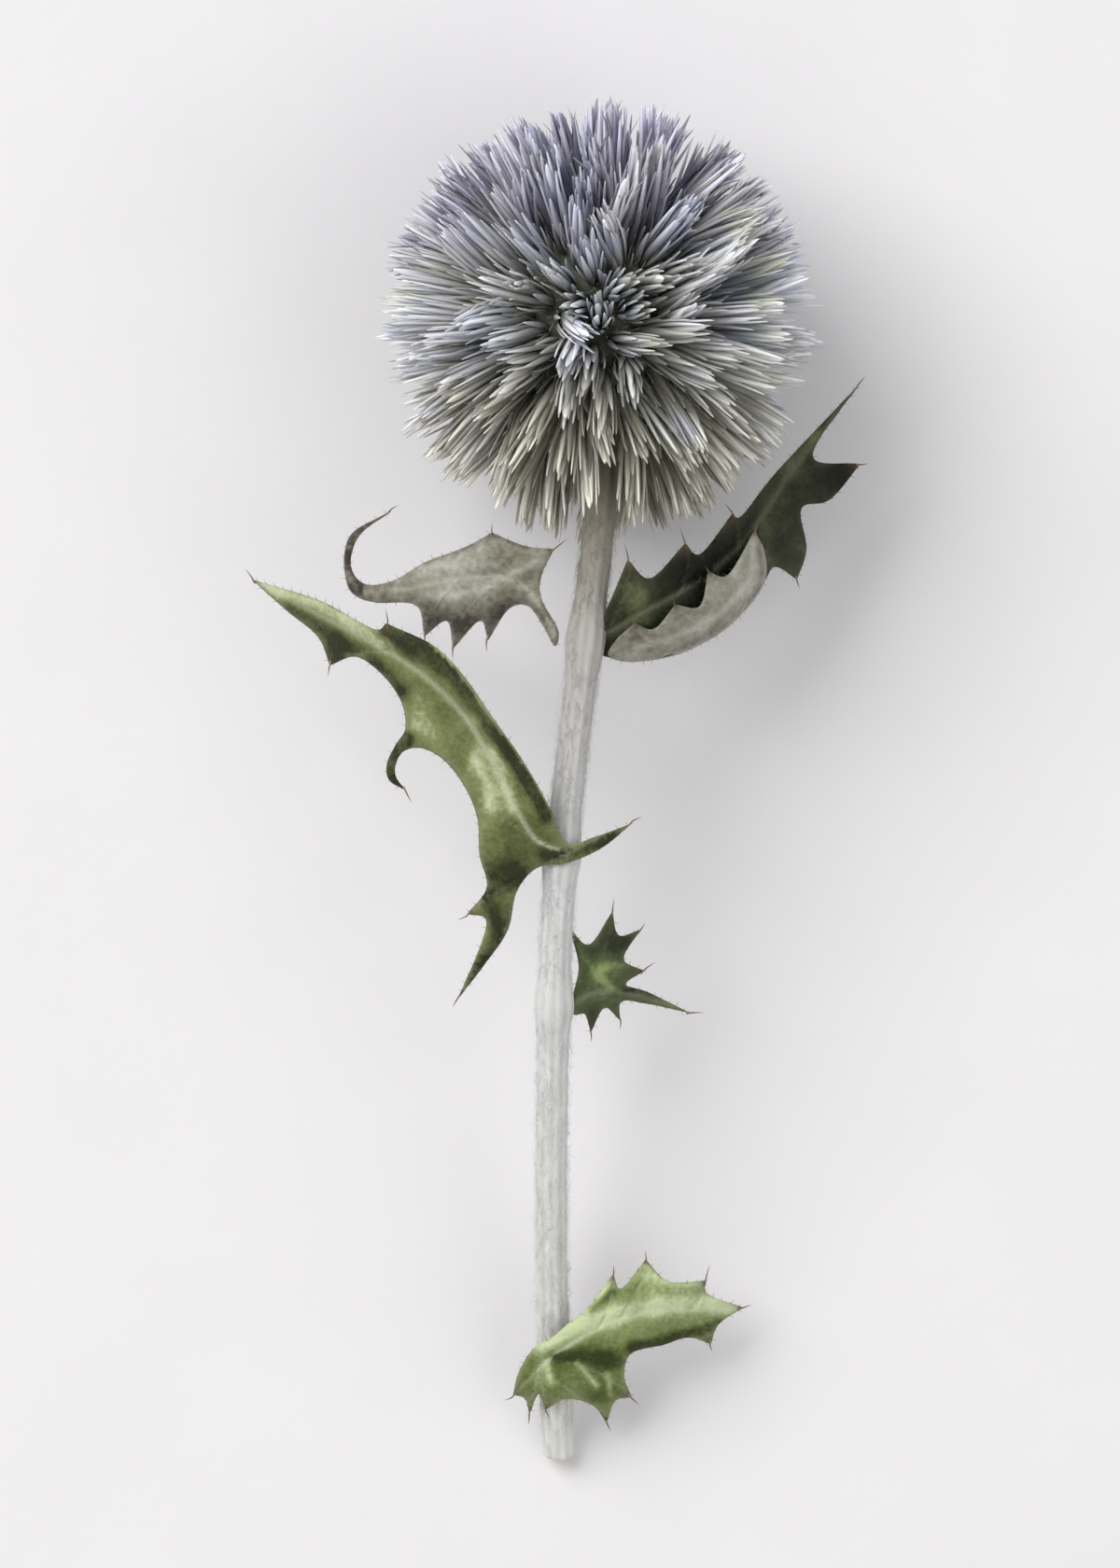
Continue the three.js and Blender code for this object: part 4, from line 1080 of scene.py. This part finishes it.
def grow_wool(count):
    """Hairs that lie along the stalk's skin, most of them pointing to the cut end."""
    draw = np.random.default_rng(77)
    ring = draw.integers(2, STALK_RINGS - 8, count)
    angle = draw.uniform(0, 2 * math.pi, count)
    out = (
        np.cos(angle)[:, None] * stalk_side[ring] + np.sin(angle)[:, None] * stalk_over[ring]
    )
    skin = stalk_line[ring] + out * (STALK_RADIUS * HAIR_ROOT_SHARE)
    lean = draw.normal(0, 0.8, count)[:, None]
    heading = np.sign(draw.normal(0.4, 1, count))[:, None]
    lying = unit(stalk_along[ring] * heading + np.cross(stalk_along[ring], out) * lean)
    length = draw.uniform(*HAIR_LENGTH, count)[:, None] * MM
    lift = draw.uniform(*HAIR_LIFT, count)[:, None] * MM
    middles = skin + lying * length * 0.5 + out * lift * 1.6
    tips = skin + lying * length + out * lift * draw.uniform(0.0, 1.6, count)[:, None]
    width = draw.uniform(*HAIR_HALF_WIDTH, count) * MM
    facts = {"tint": draw.uniform(0, 1, count), "down": ring / STALK_RINGS}
    return needles("stalk_wool", skin, middles, tips, out, width, HAIR_PROFILE, facts)


stalk_wool = grow_wool(HAIRS)

# %% [markdown]
# ## Finishes
#
# Every finish here is built from shader nodes, with no pictures. A small helper keeps the node
# wiring readable: it adds a node, sets its inputs by name and links what is passed in.

# %% A helper for shader nodes
class Finish:
    """A material with a Principled shader, and short ways to add and join nodes."""

    def __init__(self, name, roughness, sheen=0.0, specular=0.35):
        self.material = bpy.data.materials.new(name)
        self.material.use_nodes = True
        self.tree = self.material.node_tree
        self.shader = self.tree.nodes["Principled BSDF"]
        self.shader.inputs["Roughness"].default_value = roughness
        self.shader.inputs["Sheen Weight"].default_value = sheen
        self.shader.inputs["Specular IOR Level"].default_value = specular

    def node(self, kind, **inputs):
        node = self.tree.nodes.new("ShaderNode" + kind)
        for key, value in inputs.items():
            self.give(value, node.inputs[key.replace("_", " ")])
        return node

    def give(self, value, socket):
        if isinstance(value, bpy.types.NodeSocket):
            self.tree.links.new(value, socket)
        else:
            socket.default_value = value

    def fact(self, name):
        node = self.tree.nodes.new("ShaderNodeAttribute")
        node.attribute_name = name
        return node.outputs["Fac"]

    def place(self):
        return self.tree.nodes.new("ShaderNodeTexCoord").outputs["Object"]

    def noise(self, scale, detail=3.0, stretch=None):
        place = self.place()
        if stretch:
            place = self.node("Mapping", Vector=place, Scale=stretch).outputs["Vector"]
        return self.node("TexNoise", Vector=place, Scale=scale, Detail=detail).outputs["Fac"]

    def ramp(self, factor, stops):
        node = self.tree.nodes.new("ShaderNodeValToRGB")
        elements = node.color_ramp.elements
        while len(elements) < len(stops):
            elements.new(0.5)
        for element, (position, color) in zip(elements, stops):
            element.position = position
            element.color = (*color, 1)
        self.give(factor, node.inputs["Fac"])
        return node.outputs["Color"]

    def mix(self, factor, a, b, how="MIX"):
        node = self.tree.nodes.new("ShaderNodeMix")
        node.data_type = "RGBA"
        node.blend_type = how
        self.give(factor, node.inputs[0])
        self.give(a if isinstance(a, bpy.types.NodeSocket) else (*a, 1), node.inputs[6])
        self.give(b if isinstance(b, bpy.types.NodeSocket) else (*b, 1), node.inputs[7])
        return node.outputs[2]

    def math(self, how, a, b=0.0):
        node = self.tree.nodes.new("ShaderNodeMath")
        node.operation = how
        self.give(a, node.inputs[0])
        self.give(b, node.inputs[1])
        return node.outputs[0]

    def times(self, a, b):
        return self.math("MULTIPLY", a, b)

    def plus(self, a, b):
        return self.math("ADD", a, b)

    def swing(self, noise, strength):
        """Noise moved so that it swings to both sides of 0."""
        return self.times(self.math("SUBTRACT", noise, 0.5), strength)

    def between(self, value, low, high):
        """0 where the value is under low, 1 where it is over high, and a slope between."""
        return self.node("MapRange", Value=value, From_Min=low, From_Max=high).outputs["Result"]

    def pale_line(self, line, tone, strength):
        """How much of a line's pale colour shows, partly painted highlight on ridges and margins.
        It fades out where the blade is darkest.
        """
        lit = self.times(self.between(tone, 0.08, 0.34), strength)
        return self.times(self.fact(line), lit)

    def color(self, value):
        self.give(value, self.shader.inputs["Base Color"])

    def bump(self, height, distance, strength=1.0):
        node = self.node("Bump", Height=height, Distance=distance, Strength=strength)
        self.tree.links.new(node.outputs["Normal"], self.shader.inputs["Normal"])


# %% [markdown]
# ### The bracts
#
# A dried bract is greenish and painted dark at its root, as shade deep between the florets,
# slate, grey or straw along its blade, and pale at its needle. The blade's colour goes with the
# place on the ball: violet slate over the crown, silver grey round the waist, straw and khaki
# beside the stalk, where it is also darker as painted shade on the stalk side of the ball. Faded
# patches blur the borders. The outer whorls are painted darker than the inner one, as shade
# between the florets, which lets each star stand out, and every bract has a thin pale rim.

# %% Finish the bracts
def bract_finish():
    finish = Finish("dry_bract", roughness=0.62, sheen=0.12)
    layer = finish.fact("layer")
    reach = finish.plus(finish.fact("reach"), finish.times(layer, 0.11))
    # Each ramp is dark at the root: painted shade deep between the florets.
    crown = finish.ramp(reach, [
        (0.0, (0.155, 0.170, 0.175)), (0.40, (0.220, 0.215, 0.290)), (0.60, (0.210, 0.195, 0.315)),
        (0.78, (0.215, 0.20, 0.325)), (0.92, (0.29, 0.275, 0.405)), (1.0, (0.47, 0.455, 0.56)),
    ])
    waist = finish.ramp(reach, [
        (0.0, (0.235, 0.265, 0.220)), (0.40, (0.45, 0.47, 0.44)), (0.60, (0.61, 0.615, 0.62)),
        (0.78, (0.78, 0.78, 0.81)), (0.92, (0.90, 0.90, 0.93)), (1.0, (0.95, 0.95, 0.97)),
    ])
    # The foot ramp is straw and khaki, and also darker as painted shade on the stalk side of the ball.
    foot = finish.ramp(reach, [
        (0.0, (0.190, 0.182, 0.135)), (0.40, (0.31, 0.295, 0.21)), (0.60, (0.335, 0.32, 0.225)),
        (0.78, (0.35, 0.335, 0.24)), (0.92, (0.41, 0.39, 0.29)), (1.0, (0.56, 0.54, 0.425)),
    ])
    ripe = finish.plus(finish.fact("ripe"), finish.swing(finish.noise(150, 2.0), 0.7))
    above_foot = finish.between(ripe, 0.12, 0.40)
    above_waist = finish.between(ripe, 0.55, 0.88)
    blade = finish.mix(above_waist, finish.mix(above_foot, foot, waist), crown)
    blue = finish.times(finish.between(finish.noise(95, 1.0), 0.52, 0.62), above_foot)
    blade = finish.mix(finish.times(blue, 0.5), blade, (0.62, 0.72, 1.0), "MULTIPLY")
    faded = finish.math("SUBTRACT", 1.0, finish.between(finish.noise(110, 1.5), 0.38, 0.46))
    blade = finish.mix(finish.times(faded, above_foot), blade, (0.98, 1.0, 0.82), "MULTIPLY")
    tint = finish.fact("tint")
    # The pale needles are dark at the root too, as painted shade between the florets.
    pale = finish.ramp(reach, [
        (0.3, (0.10, 0.10, 0.09)), (0.50, (0.38, 0.38, 0.37)), (0.75, (0.72, 0.72, 0.73)),
        (0.92, (0.92, 0.92, 0.93)),
    ])
    aged = finish.mix(above_waist, (1.0, 1.0, 1.0), (0.88, 0.86, 1.0))
    aged = finish.mix(above_foot, (0.96, 0.935, 0.80), aged)
    pale = finish.mix(1.0, pale, aged, "MULTIPLY")
    is_pale = finish.times(finish.between(tint, 0.52, 0.66), finish.between(layer, -0.2, 0.8))
    blade = finish.mix(finish.times(is_pale, 0.8), blade, pale)
    rim = finish.times(finish.math("POWER", finish.fact("rim"), 3.0), 0.30)
    blade = finish.mix(rim, blade, (0.70, 0.70, 0.71))
    # The outer whorls are painted darker as shade between the florets; the tint adds random tone.
    shade = finish.plus(finish.times(layer, 0.20), 0.94)
    shade = finish.times(finish.between(tint, -0.9, 0.9), shade)
    shade = finish.node("CombineColor", Red=shade, Green=shade, Blue=shade).outputs["Color"]
    finish.color(finish.mix(1.0, blade, shade, "MULTIPLY"))
    finish.bump(finish.noise(900, 3.0), 0.06 * MM, 0.6)
    return finish.material


def bristle_finish():
    finish = Finish("foot_bristle", roughness=0.7)
    finish.color(finish.mix(finish.fact("tint"), (0.34, 0.34, 0.28), (0.58, 0.57, 0.50)))
    finish.bump(finish.noise(1500, 1.0), 0.02 * MM, 0.3)
    return finish.material


bristles.data.materials.append(bristle_finish())
bract_material = bract_finish()
for piece in bract_pieces:
    piece.data.materials.append(bract_material)

# %% [markdown]
# ### The core and the open flowers
#
# The core is dull, greenish wood, painted dark as the shade deep between the florets. A petal is
# violet slate, paler at its tip, and some have browned. Its tube is pale grey, and bluer at the mouth.

# %% Finish the core and the flowers
def core_finish():
    finish = Finish("woody_core", roughness=0.9)
    grain = finish.noise(500, 4.0)
    # The dark colour is painted shade deep between the florets.
    finish.color(finish.ramp(grain, [(0.3, (0.06, 0.074, 0.05)), (0.7, (0.15, 0.165, 0.115))]))
    finish.bump(finish.noise(700, 4.0), 0.3 * MM)
    return finish.material


def petal_finish():
    finish = Finish("dry_petal", roughness=0.55, sheen=0.2)
    violet = finish.ramp(finish.fact("reach"), [
        (0.0, (0.24, 0.24, 0.28)), (0.4, (0.17, 0.17, 0.27)), (1.0, (0.38, 0.37, 0.50)),
    ])
    finish.color(finish.mix(finish.fact("tint"), violet, (0.26, 0.22, 0.24)))
    finish.bump(finish.noise(1200, 2.0), 0.04 * MM, 0.5)
    return finish.material


def tube_finish():
    finish = Finish("dry_tube", roughness=0.6)
    finish.color(finish.ramp(finish.fact("reach"), [
        (0.0, (0.5, 0.5, 0.5)), (0.7, (0.62, 0.6, 0.66)), (1.0, (0.4, 0.4, 0.55)),
    ]))
    finish.bump(finish.noise(1000, 2.0), 0.04 * MM, 0.5)
    return finish.material


core.data.materials.append(core_finish())
petals.data.materials.append(petal_finish())
tubes.data.materials.append(tube_finish())

# %% [markdown]
# ### The stalk and its wool
#
# Under the wool the stalk is straw grey with a breath of lilac, greener lower down, taupe at the
# neck and darker there as painted shade under the ball, with painted shade in the hollows between
# its ribs. The cut end shows pale fibres.

# %% Finish the stalk
def stalk_colour_and_neck_shade(finish):
    """Taupe at the neck and darker there as painted shade under the ball, pale further down,
    and a little greener at the foot.
    """
    return finish.ramp(finish.fact("down"), [
        (0.0, (0.26, 0.235, 0.185)), (0.12, (0.305, 0.28, 0.225)), (0.26, (0.61, 0.60, 0.585)),
        (0.42, (0.78, 0.79, 0.79)), (0.62, (0.85, 0.86, 0.84)), (1.0, (0.87, 0.88, 0.84)),
    ])


def stalk_finish():
    finish = Finish("woolly_stalk", roughness=0.8, sheen=0.35)
    fibres = finish.noise(900, 4.0, stretch=(1.0, 0.06, 1.0))
    skin = finish.ramp(fibres, [
        (0.25, (0.62, 0.615, 0.60)), (0.5, (0.74, 0.735, 0.72)), (0.75, (0.86, 0.855, 0.845)),
    ])
    on_rib = finish.between(finish.fact("rib"), -1.0, 0.4)
    # Painted shade in the hollows between the ribs.
    painted_groove_shade = finish.mix(1.0, skin, (0.90, 0.885, 0.86), "MULTIPLY")
    skin = finish.mix(on_rib, painted_groove_shade, skin)
    skin = finish.mix(1.0, skin, stalk_colour_and_neck_shade(finish), "MULTIPLY")
    grain = finish.noise(1500, 4.0)
    pith = finish.ramp(grain, [(0.3, (0.46, 0.40, 0.28)), (0.7, (0.74, 0.69, 0.56))])
    finish.color(finish.mix(finish.fact("cut"), skin, pith))
    finish.bump(fibres, 0.09 * MM)
    return finish.material


def wool_finish():
    finish = Finish("grey_wool", roughness=0.9, sheen=0.4)
    wool = finish.mix(finish.fact("tint"), (0.70, 0.69, 0.69), (0.86, 0.86, 0.86))
    # The wool takes the same painted shade at the neck.
    finish.color(finish.mix(1.0, wool, stalk_colour_and_neck_shade(finish), "MULTIPLY"))
    finish.bump(finish.noise(2000, 1.0), 0.01 * MM, 0.3)
    return finish.material


stalk_skin.data.materials.append(stalk_finish())
stalk_wool.data.materials.append(wool_finish())

# %% [markdown]
# ### The leaves
#
# The upper face is green, patchy from drying and from painted highlight and painted shade, with
# pale ribs and side veins and brown spines; the pale ribs and margins are partly painted highlight.
# The under face is covered in silvery felt, so its veins only show as soft ridges. Both finishes
# add up the same way: drifting noise and the leaf's own patches, which paint highlight and shade as
# well as drying colour, give one tone, and a ramp of four colours, from the darkest to the palest,
# turns the tone into a colour.

# %% Finish the leaves
def leaf_tone(finish, drift):
    """A tone from 0 to 1 out of drifting noise and the patches drawn for the leaf."""
    wander = finish.swing(finish.noise(330, 5.0), drift)
    # The patches paint highlight and shade as well as drying colour.
    patches = finish.times(finish.fact("tone"), 0.42)
    return finish.plus(finish.plus(wander, patches), 0.5)


def leaf_upper_finish(name, colors, vein, rib):
    finish = Finish(name, roughness=0.5, specular=0.14)
    fine = finish.noise(2200, 4.0)
    tone = finish.plus(leaf_tone(finish, 0.8), finish.swing(fine, 0.35))
    green = finish.ramp(tone, list(zip((0.08, 0.35, 0.62, 0.92), colors)))
    green = finish.mix(finish.pale_line("vein", tone, 0.45), green, vein)
    # The pale rib and margin lines are partly the leaf's own colour and partly painted highlight.
    green = finish.mix(finish.pale_line("rib", tone, 0.75), green, rib)
    green = finish.mix(finish.pale_line("margin", tone, 0.4), green, vein)
    near_spine = finish.times(finish.fact("spine"), 0.8)
    finish.color(finish.mix(near_spine, green, (0.10, 0.075, 0.04)))
    height = finish.math("SUBTRACT", fine, finish.times(finish.fact("vein"), 1.2))
    finish.bump(height, 0.14 * MM)
    return finish.material


def leaf_under_finish():
    finish = Finish("leaf_felt", roughness=0.9, sheen=0.35)
    felt = finish.noise(1600, 5.0)
    tone = finish.plus(leaf_tone(finish, 0.7), finish.swing(felt, 0.6))
    grey = finish.ramp(tone, [
        (0.04, (0.035, 0.026, 0.018)), (0.3, (0.14, 0.13, 0.088)),
        (0.6, (0.29, 0.285, 0.225)), (0.95, (0.52, 0.51, 0.455)),
    ])
    grey = finish.mix(finish.pale_line("rib", tone, 0.5), grey, (0.55, 0.54, 0.44))
    grey = finish.mix(finish.pale_line("vein", tone, 0.25), grey, (0.55, 0.54, 0.44))
    near_spine = finish.times(finish.fact("spine"), 0.8)
    finish.color(finish.mix(near_spine, grey, (0.08, 0.06, 0.04)))
    height = finish.plus(felt, finish.times(finish.fact("vein"), 1.5))
    finish.bump(height, 0.14 * MM)
    return finish.material


def spine_finish():
    finish = Finish("straw_spine", roughness=0.45)
    finish.color(finish.ramp(finish.fact("reach"), [
        (0.0, (0.28, 0.25, 0.14)), (0.35, (0.15, 0.11, 0.06)), (1.0, (0.04, 0.025, 0.018))]))
    finish.bump(finish.noise(1800, 1.0), 0.02 * MM, 0.3)
    return finish.material


felt = leaf_under_finish()
LEAF_FACES = {
    "blade_upper_right": leaf_upper_finish(
        "leaf_dark_green",
        ((0.005, 0.006, 0.003), (0.011, 0.013, 0.006), (0.034, 0.038, 0.018), (0.11, 0.12, 0.055)),
        vein=(0.08, 0.09, 0.05), rib=(0.15, 0.15, 0.10)),
    "blade_mid_right": leaf_upper_finish(
        "leaf_deep_green",
        ((0.012, 0.016, 0.006), (0.034, 0.044, 0.017), (0.078, 0.102, 0.038), (0.23, 0.29, 0.11)),
        vein=(0.17, 0.19, 0.10), rib=(0.22, 0.22, 0.15)),
    "blade_mid_left": leaf_upper_finish(
        "leaf_bright_green",
        ((0.028, 0.032, 0.012), (0.095, 0.108, 0.036), (0.19, 0.215, 0.085), (0.50, 0.53, 0.33)),
        vein=(0.36, 0.39, 0.22), rib=(0.52, 0.53, 0.38)),
    "blade_lower_right": leaf_upper_finish(
        "leaf_yellow_green",
        ((0.035, 0.046, 0.010), (0.11, 0.14, 0.036), (0.25, 0.30, 0.125), (0.54, 0.62, 0.36)),
        vein=(0.40, 0.46, 0.26), rib=(0.58, 0.62, 0.42)),
}
FELT_SIDE_UP = {"blade_upper_left": "blade_mid_left", "blade_turned_edge": "blade_upper_right"}
for leaf in leaves:
    if leaf.name in FELT_SIDE_UP:
        leaf.data.materials[0] = felt
        leaf.data.materials[1] = LEAF_FACES[FELT_SIDE_UP[leaf.name]]
    else:
        leaf.data.materials[0] = LEAF_FACES[leaf.name]
        leaf.data.materials[1] = felt
leaf_spines.data.materials.append(spine_finish())
print("finishes:", ", ".join(material.name for material in bpy.data.materials))

# %% [markdown]
# ## Joining the frame
#
# Each piece rides on the frame's one body, and the frame's solid that it stands for is hidden.

# %% Tell the frame what each piece is
for piece in [core, bristles, *bract_pieces, petals, tubes]:
    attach(piece, "root")
    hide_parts("flower_head")
for piece in [stalk_skin, stalk_wool]:
    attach(piece, "root")
    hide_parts("stalk")
for leaf, node in leaves.items():
    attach(leaf, "root")
    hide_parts(node)
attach(leaf_spines, "root")
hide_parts(*LEAF_DRAWINGS)

# %% [markdown]
# ## Floor, light and camera
#
# The flower lies on a pale board, lit softly from the upper left and looked at from straight
# above. A long lens far away keeps the shape free of distortion.

# %% Set the floor, the light and the camera
FLOOR_WIDTH = 8
CAMERA_DISTANCE = 1.6
FILM_HEIGHT = 36
FLOWER_SHARE = 0.86


def make_floor():
    bpy.ops.mesh.primitive_plane_add(size=FLOOR_WIDTH, location=(0, 0, 0))
    floor = bpy.context.object
    floor.name = "pale_board"
    finish = Finish("pale_board", roughness=0.85, specular=0.2)
    clouding = finish.noise(60, 4.0)
    finish.color(finish.ramp(clouding, [(0.3, (0.735, 0.722, 0.724)), (0.7, (0.75, 0.737, 0.739))]))
    finish.bump(finish.noise(350, 4.0), 0.1 * MM, 0.4)
    floor.data.materials.append(finish.material)


def make_light(name, place, size, power, target):
    data = bpy.data.lights.new(name, "AREA")
    data.size = size
    data.energy = power
    light = bpy.data.objects.new(name, data)
    light.location = place
    light.rotation_euler = (Vector(target) - Vector(place)).to_track_quat("-Z", "Y").to_euler()
    bpy.context.scene.collection.objects.link(light)


def make_camera(middle, height):
    """A camera straight above the middle, whose frame is as tall as the given height."""
    data = bpy.data.cameras.new("camera")
    camera = bpy.data.objects.new("camera", data)
    data.sensor_fit = "VERTICAL"
    data.sensor_height = FILM_HEIGHT
    data.lens = FILM_HEIGHT * CAMERA_DISTANCE / height
    data.clip_end = 50
    camera.location = (middle.x, middle.y, CAMERA_DISTANCE)
    bpy.context.scene.collection.objects.link(camera)
    bpy.context.scene.camera = camera
    print("the lens is", round(data.lens), "mm long")


make_floor()
flower_middle = (cad_low + cad_high) / 2
make_light("window", place=(-0.9, 0.7, 1.3), size=1.2, power=24, target=flower_middle)
make_light("fill", place=(1.1, -0.4, 1.2), size=1.5, power=7, target=flower_middle)
world = bpy.data.worlds.new("room")
world.use_nodes = True
background = world.node_tree.nodes["Background"]
background.inputs["Color"].default_value = (0.97, 0.97, 1.0, 1)
background.inputs["Strength"].default_value = 0.55
bpy.context.scene.world = world
bpy.context.scene.view_settings.view_transform = "Standard"
make_camera(flower_middle, (cad_high.y - cad_low.y) / FLOWER_SHARE)
